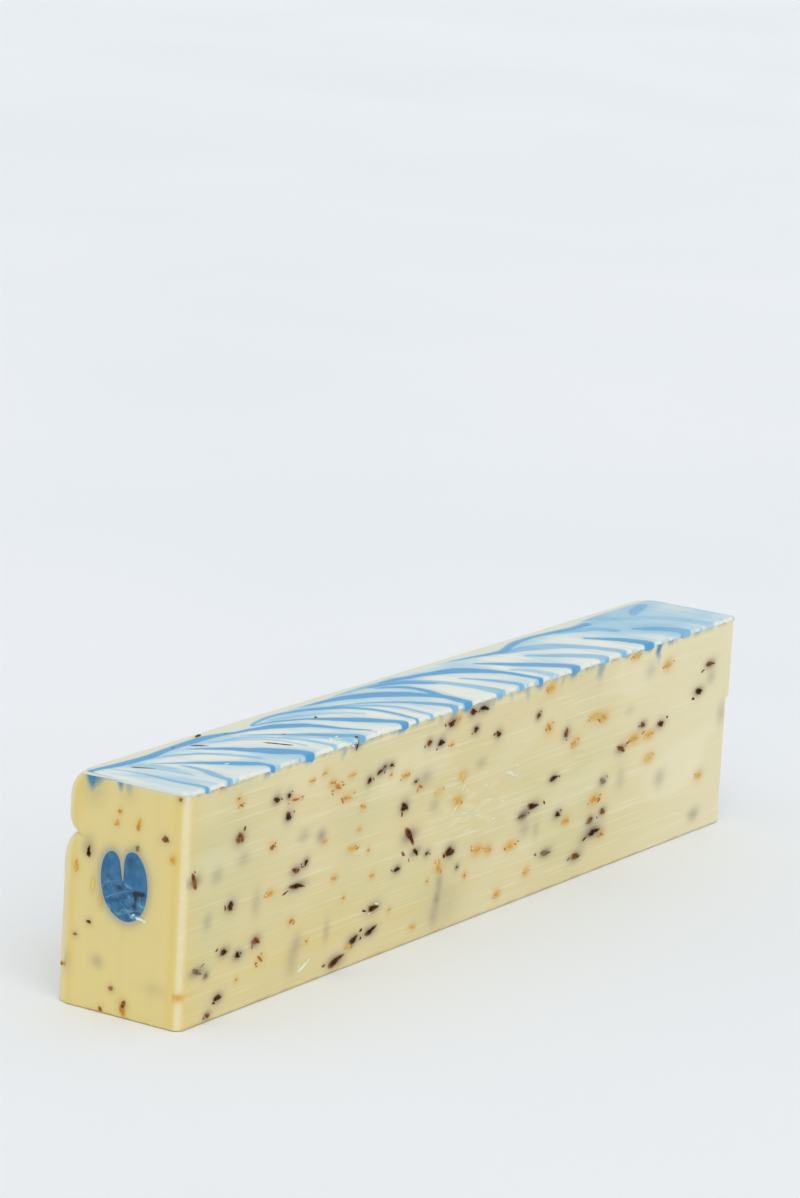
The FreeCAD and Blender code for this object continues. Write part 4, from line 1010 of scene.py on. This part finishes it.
def stain_round(places, size, strength, name):
    """Colour the planed side round each place with a soft bell, wider along the loaf than up it."""
    x, y, z = points_of(loaf).T
    side = (x > PLANED_FROM_X) & (y > PLANED_FROM_Y)
    total = np.zeros(len(x))
    for place, level, long, wide, _, _ in places:
        forward = (y + HALF_LENGTH - place) / (0.5 * long + size)
        reach = np.hypot(forward, (HEIGHT - z - level) / (0.5 * wide + size))
        total += strength * halo(reach)
    stain(loaf, name, total * side)


stain_round(PLANED_BUDS, 0.7, 0.8, "grey_depth")
stain_round(PLANED_BUDS, 2.2, 0.22, "grey_depth")
stain_round(PLANED_BUDS, 0.9, 0.2, "rust_stain")

# Petal flecks: amber and rust shreds of dried petal, which stained the soap round them.
# Place along the face, distance below the top, length, width, turn, and shade from amber to rust.
PLANED_FLECKS = [
    (28.5, 9.5, 2.4, 1.5, -20, 0.7), (58, 13.5, 5.5, 1.2, 0, 0.7), (46.5, 41.5, 4, 1.8, 0, 0.4),
    (81.5, 14, 5, 2.2, -15, 0.6), (87, 18.8, 6, 1.8, -10, 0.4), (89.5, 11.8, 3, 0.7, 0, 0.3),
    (78, 12, 2.6, 1.2, 0, 0.6), (66.8, 9.2, 2, 1, 0, 0.3), (74, 8, 2, 1, 0, 0.3),
    (75.5, 30.8, 1.8, 0.7, 0, 0.3), (95, 30.8, 1.8, 0.7, 0, 0.3), (91.5, 36.5, 4.6, 1.6, -8, 0.4),
    (42.5, 62, 3.6, 1.9, -35, 0.7), (58.5, 53.3, 3, 1.6, 30, 0.6), (92.5, 69.3, 3.8, 1.4, 0, 0.4),
    (104, 48, 1.8, 1.2, 0, 0.5), (82, 44.3, 2.6, 1.2, 20, 0.5), (147.5, 12.8, 2.4, 1.2, 0, 0.5),
    (150.5, 4.8, 2.4, 1.4, 0, 0.5), (121, 18, 4, 1.8, -10, 0.5), (130, 23.5, 3, 1.7, -25, 0.7),
    (141.5, 27.3, 5, 1, -15, 0.1), (153.5, 33, 4.6, 2.2, 15, 0.4), (155.5, 25, 3.6, 1.8, 60, 0.1),
    (143.5, 53.5, 4.6, 2.6, 60, 0.3), (167, 52.5, 5, 2.2, 10, 0.3), (174, 54, 3, 2, 10, 0.3),
    (188, 55.5, 6, 2.2, 0, 0.4), (208.5, 4.5, 4.2, 2.2, -10, 0.5), (208.5, 18.3, 4, 2.4, -30, 0.6),
    (129.5, 71, 2.6, 1.4, 0, 0.3), (181, 71, 2.6, 1.6, 0, 0.3), (199, 67, 2.4, 1.4, 0, 0.3),
    (244.5, 21.5, 5, 1.8, -12, 0.5), (238.5, 20, 7, 1, -4, 0.2), (226, 27, 4, 2.2, -20, 0.3),
    (241.5, 50, 6, 2.6, 0, 0.5), (266, 33, 8, 2.4, -8, 0.3), (276.5, 33.5, 5, 1.8, -4, 0.3),
    (277, 42, 5, 1.8, -5, 0.2), (286.5, 10, 5, 2.4, -10, 0.4), (264, 3, 5, 1.4, 0, 0.4),
    (247.5, 63.7, 3, 1.4, 0, 0.7), (313.5, 55.5, 3.6, 1.6, 0, 0.3), (223, 54, 3.6, 1.6, 0, 0.3),
    (46.5, 26.5, 3, 2.2, 0, 0.8), (96.5, 23.5, 2.4, 1.6, 0, 0.4), (18.5, 1.4, 5, 1.1, 4, 0.7),
    (27, 7, 1.2, 0.8, 0, 0.8), (112, 16, 1, 0.8, 0, 0.9), (101, 39, 0.9, 0.7, 0, 0.8),
    (68, 62, 0.9, 0.7, 0, 0.9), (30, 66, 0.8, 0.6, 0, 0.9), (88, 52, 0.8, 0.6, 0, 0.9),
    (160, 60, 0.9, 0.7, 0, 0.9), (137, 57, 0.8, 0.6, 0, 0.9), (115, 62, 1, 0.7, 0, 0.5),
]
# On the cut end the first two numbers are x and height.
CUT_END_FLECKS = [
    (3.4, 3, 4.6, 2.2, 84, 0.6), (-5, 1, 2, 1.4, 0, 0.9), (-0.5, 65.3, 1.8, 1.2, 0, 0.55),
    (-1.5, 61.5, 2.4, 1.6, 80, 0.4), (6.8, 62.5, 4, 1.5, 70, 0.5), (20, 54, 2.8, 2.2, 0, 0.24),
    (-16.3, 45, 4.2, 1.8, 80, 0.3), (-9.8, 40, 5, 0.8, 84, 0.1), (-6.6, 36, 4.2, 0.7, 95, 0.2),
    (-20.4, 12.5, 1.6, 1.2, 0, 0.7),
]
smaller = [1, 1, 0.85, 0.75, 1, 1]
fleck_points, fleck_faces, fleck_shades, fleck_rims = cut_lumps([
    on_face("planed side", with_crumbs(np.array(PLANED_FLECKS) * smaller, 4, chance)),
    on_face("cut end", CUT_END_FLECKS),
    on_face("cast side", scattered(6, 0.77, 4.2, 1.9)),
    on_face("far end", scattered(1, 0.9, 3.8, 1.8)),
], 71, ribs=0.24, proud=0.045, deep=0.5)
flecks = mesh_piece("petal_shreds", fleck_points, fleck_faces)
stain(flecks, "shade", fleck_shades)
stain(flecks, "rim", fleck_rims)
petal = Finish("dried_petal", 0.55, 0.35, glow=0.2)
shade = petal.stained("shade")
colour = petal.blend(petal.clouds(700, 4, 0.3, 0.7), (228, 180, 60), (206, 140, 40))
colour = petal.blend(petal.fade(shade, 0.1, 0.3), (232, 204, 92), colour)
colour = petal.blend(petal.fade(shade, 0.4, 0.8), colour, (154, 84, 30))
colour = petal.blend(petal.fade(petal.stained("rim"), 0.3, 1.0, 0.65), colour, (222, 188, 108))
petal.relief(petal.noise(2500, 2), 0.4, 0.0002)
petal.lay_on(flecks, colour)
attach(flecks, "root")
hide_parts("petal_flecks")
stain_round(PLANED_FLECKS, 1.2, 0.65, "rust_stain")
FAR_HALF = 150
stain_round([row for row in PLANED_FLECKS if row[0] > FAR_HALF], 2.2, 0.26, "rust_stain")

# On the cut end the petals left amber in the soap round them, and the buds a shade of grey and rust.
x, y, z = points_of(loaf).T
smear = np.zeros(len(x))
for place, level, long, wide, _, _ in CUT_END_FLECKS:
    reach = np.hypot((x - place) / (0.5 * wide + 0.9), (z - level) / (0.5 * long + 0.7))
    smear += 0.45 * halo(reach)
shadow = np.zeros(len(x))
for place, level, long, wide, _, _ in CUT_END_BUDS:
    reach = np.hypot(x - place, z - level) / (0.25 * (long + wide) + 0.9)
    shadow += halo(reach)
stain(loaf, "rust_stain", (smear + 0.2 * shadow) * (y < CUT_END_TO_Y))
stain(loaf, "grey_depth", 0.3 * shadow * (y < CUT_END_TO_Y))

# Shavings: curls and crumbs of soap that the plane left on the side and along its top edge.
# Thin pale lumps pressed on the face; place along, distance below the top, length, width, turn and shade.
SIDE_SHAVINGS = [
    (66.5, 70.2, 5.2, 1.3, 26, 0.1), (69.4, 68.8, 2.6, 0.7, 38, 0.1), (64.6, 71.2, 1.6, 0.6, 10, 0.2),
    (186, 30, 5.2, 1.1, -24, 0.1), (183.4, 29, 2, 0.6, -35, 0.1), (189.4, 31.4, 1.6, 0.6, -10, 0.2),
    (107.5, 58.2, 2.4, 0.6, -14, 0.1), (103.4, 60.6, 1.6, 0.5, 10, 0.2), (156.4, 29, 2.2, 0.7, 50, 0.3),
    (152, 35.2, 2.6, 0.6, 30, 0.2), (158, 38, 3.2, 0.5, -6, 0.1), (166, 40.4, 4.4, 0.5, -4, 0.1),
    (172.5, 36.4, 3.6, 0.5, -8, 0.1), (176, 43.6, 2.8, 0.5, 4, 0.2), (163, 45.6, 3, 0.5, -6, 0.1),
    (181, 38.6, 3.4, 0.4, -4, 0.2), (170.4, 31, 2.4, 0.5, 8, 0.2), (160.2, 32.6, 1.8, 0.6, 60, 0.3),
    (38, 1.4, 2, 0.7, 12, 0.1), (52, 1, 2.6, 0.6, -6, 0.1), (86.6, 1.2, 3.4, 1, 10, 0),
    (89, 2, 2, 0.8, -30, 0), (97, 1.3, 2, 0.6, 4, 0.1), (111.5, 1.2, 2.4, 0.6, -4, 0.1),
    (129.6, 1.1, 2, 0.6, 0, 0.1), (170.6, 1.2, 2.6, 0.6, 4, 0.1),
]
# On the crown the first two numbers are along and across, and on the cut end x and height.
TOP_SHAVINGS = [
    (84.5, 41.6, 4.6, 0.8, 62, 0), (86.6, 42.6, 3.4, 0.7, -30, 0), (88.4, 40.8, 2.6, 0.7, 15, 0),
    (47.5, 40.5, 1.6, 0.8, 0, 0), (36.5, 35, 2.2, 0.9, -10, 0),
]
CURL_AT_HEART = [(8.4, 32.8, 3.6, 0.9, -8, 0), (6, 33.6, 2.2, 0.7, 30, 0.1), (10.4, 32.4, 1.4, 0.7, 20, 0)]
shaving_points, shaving_faces, shaving_shades, _ = cut_lumps([
    on_face("planed side", with_crumbs(np.array(SIDE_SHAVINGS), 1, chance)),
    on_face("crown", TOP_SHAVINGS),
    on_face("cut end", CURL_AT_HEART),
], 81, ribs=0.12, proud=0.065, deep=0.4)
shavings = mesh_piece("soap_shavings", shaving_points, shaving_faces)
stain(shavings, "shade", shaving_shades)
pale = Finish("soap_shaving", 0.5, 0.35, glow=0.2)
colour = pale.blend(pale.clouds(600, 2, 0.3, 0.7), (240, 238, 220), (230, 226, 196))
colour = pale.blend(pale.fade(pale.stained("shade"), 0.1, 0.6), colour, (224, 214, 170))
pale.lay_on(shavings, colour)
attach(shavings, "root")

# Table and wall: a plain pale surface that sweeps up behind the loaf, with no edge in view.
# One sheet of matt paint, flat under the loaf and bent up into the wall in a quarter circle.
TABLE_SIDE = 4.0
WALL_Y = 3.8
WALL_TOP = 5.0
BELOW_BASE = 0.0002
SWEEP_RADIUS = 1.2
SWEEP_POINTS = 19
turns = np.linspace(0, np.pi / 2, SWEEP_POINTS - 2)
sweep_y = np.concatenate([[-TABLE_SIDE], WALL_Y - SWEEP_RADIUS * (1 - np.sin(turns)), [WALL_Y]])
sweep_z = np.concatenate([[0.0], SWEEP_RADIUS * (1 - np.cos(turns)), [WALL_TOP]]) - BELOW_BASE
sweep = np.stack([
    np.stack([np.full(SWEEP_POINTS, side), sweep_y, sweep_z], axis=-1) for side in (-TABLE_SIDE, TABLE_SIDE)
])
table_faces = grid_faces(np.arange(2 * SWEEP_POINTS).reshape(2, SWEEP_POINTS))[:, ::-1]
table = mesh_piece("table", sweep.reshape(-1, 3) * 1000, table_faces)
paint = Finish("pale_paint", 0.7, 0.2)
paint.lay_on(table, paint.blend(paint.clouds(3, 2, 0.3, 0.7), (235, 238, 240), (239, 241, 243)))

# Light: even light from all round, as in a pale room, and one wide soft lamp high on the right.
# Both are weak and wide, so that the shadows are faint and no pale face turns white.
world = bpy.data.worlds.new("daylight")
scene.world = world
world.use_nodes = True
background = world.node_tree.nodes["Background"]
background.inputs["Color"].default_value = (0.96, 0.98, 1.0, 1.0)
background.inputs["Strength"].default_value = 0.8
sun_data = bpy.data.lights.new("window", "SUN")
sun_data.energy = 0.85
sun_data.angle = math.radians(50)
sun = bpy.data.objects.new("window", sun_data)
scene.collection.objects.link(sun)
towards_window = Vector((0.55, -0.5, 0.75))
sun.rotation_euler = towards_window.to_track_quat("Z", "Y").to_euler()
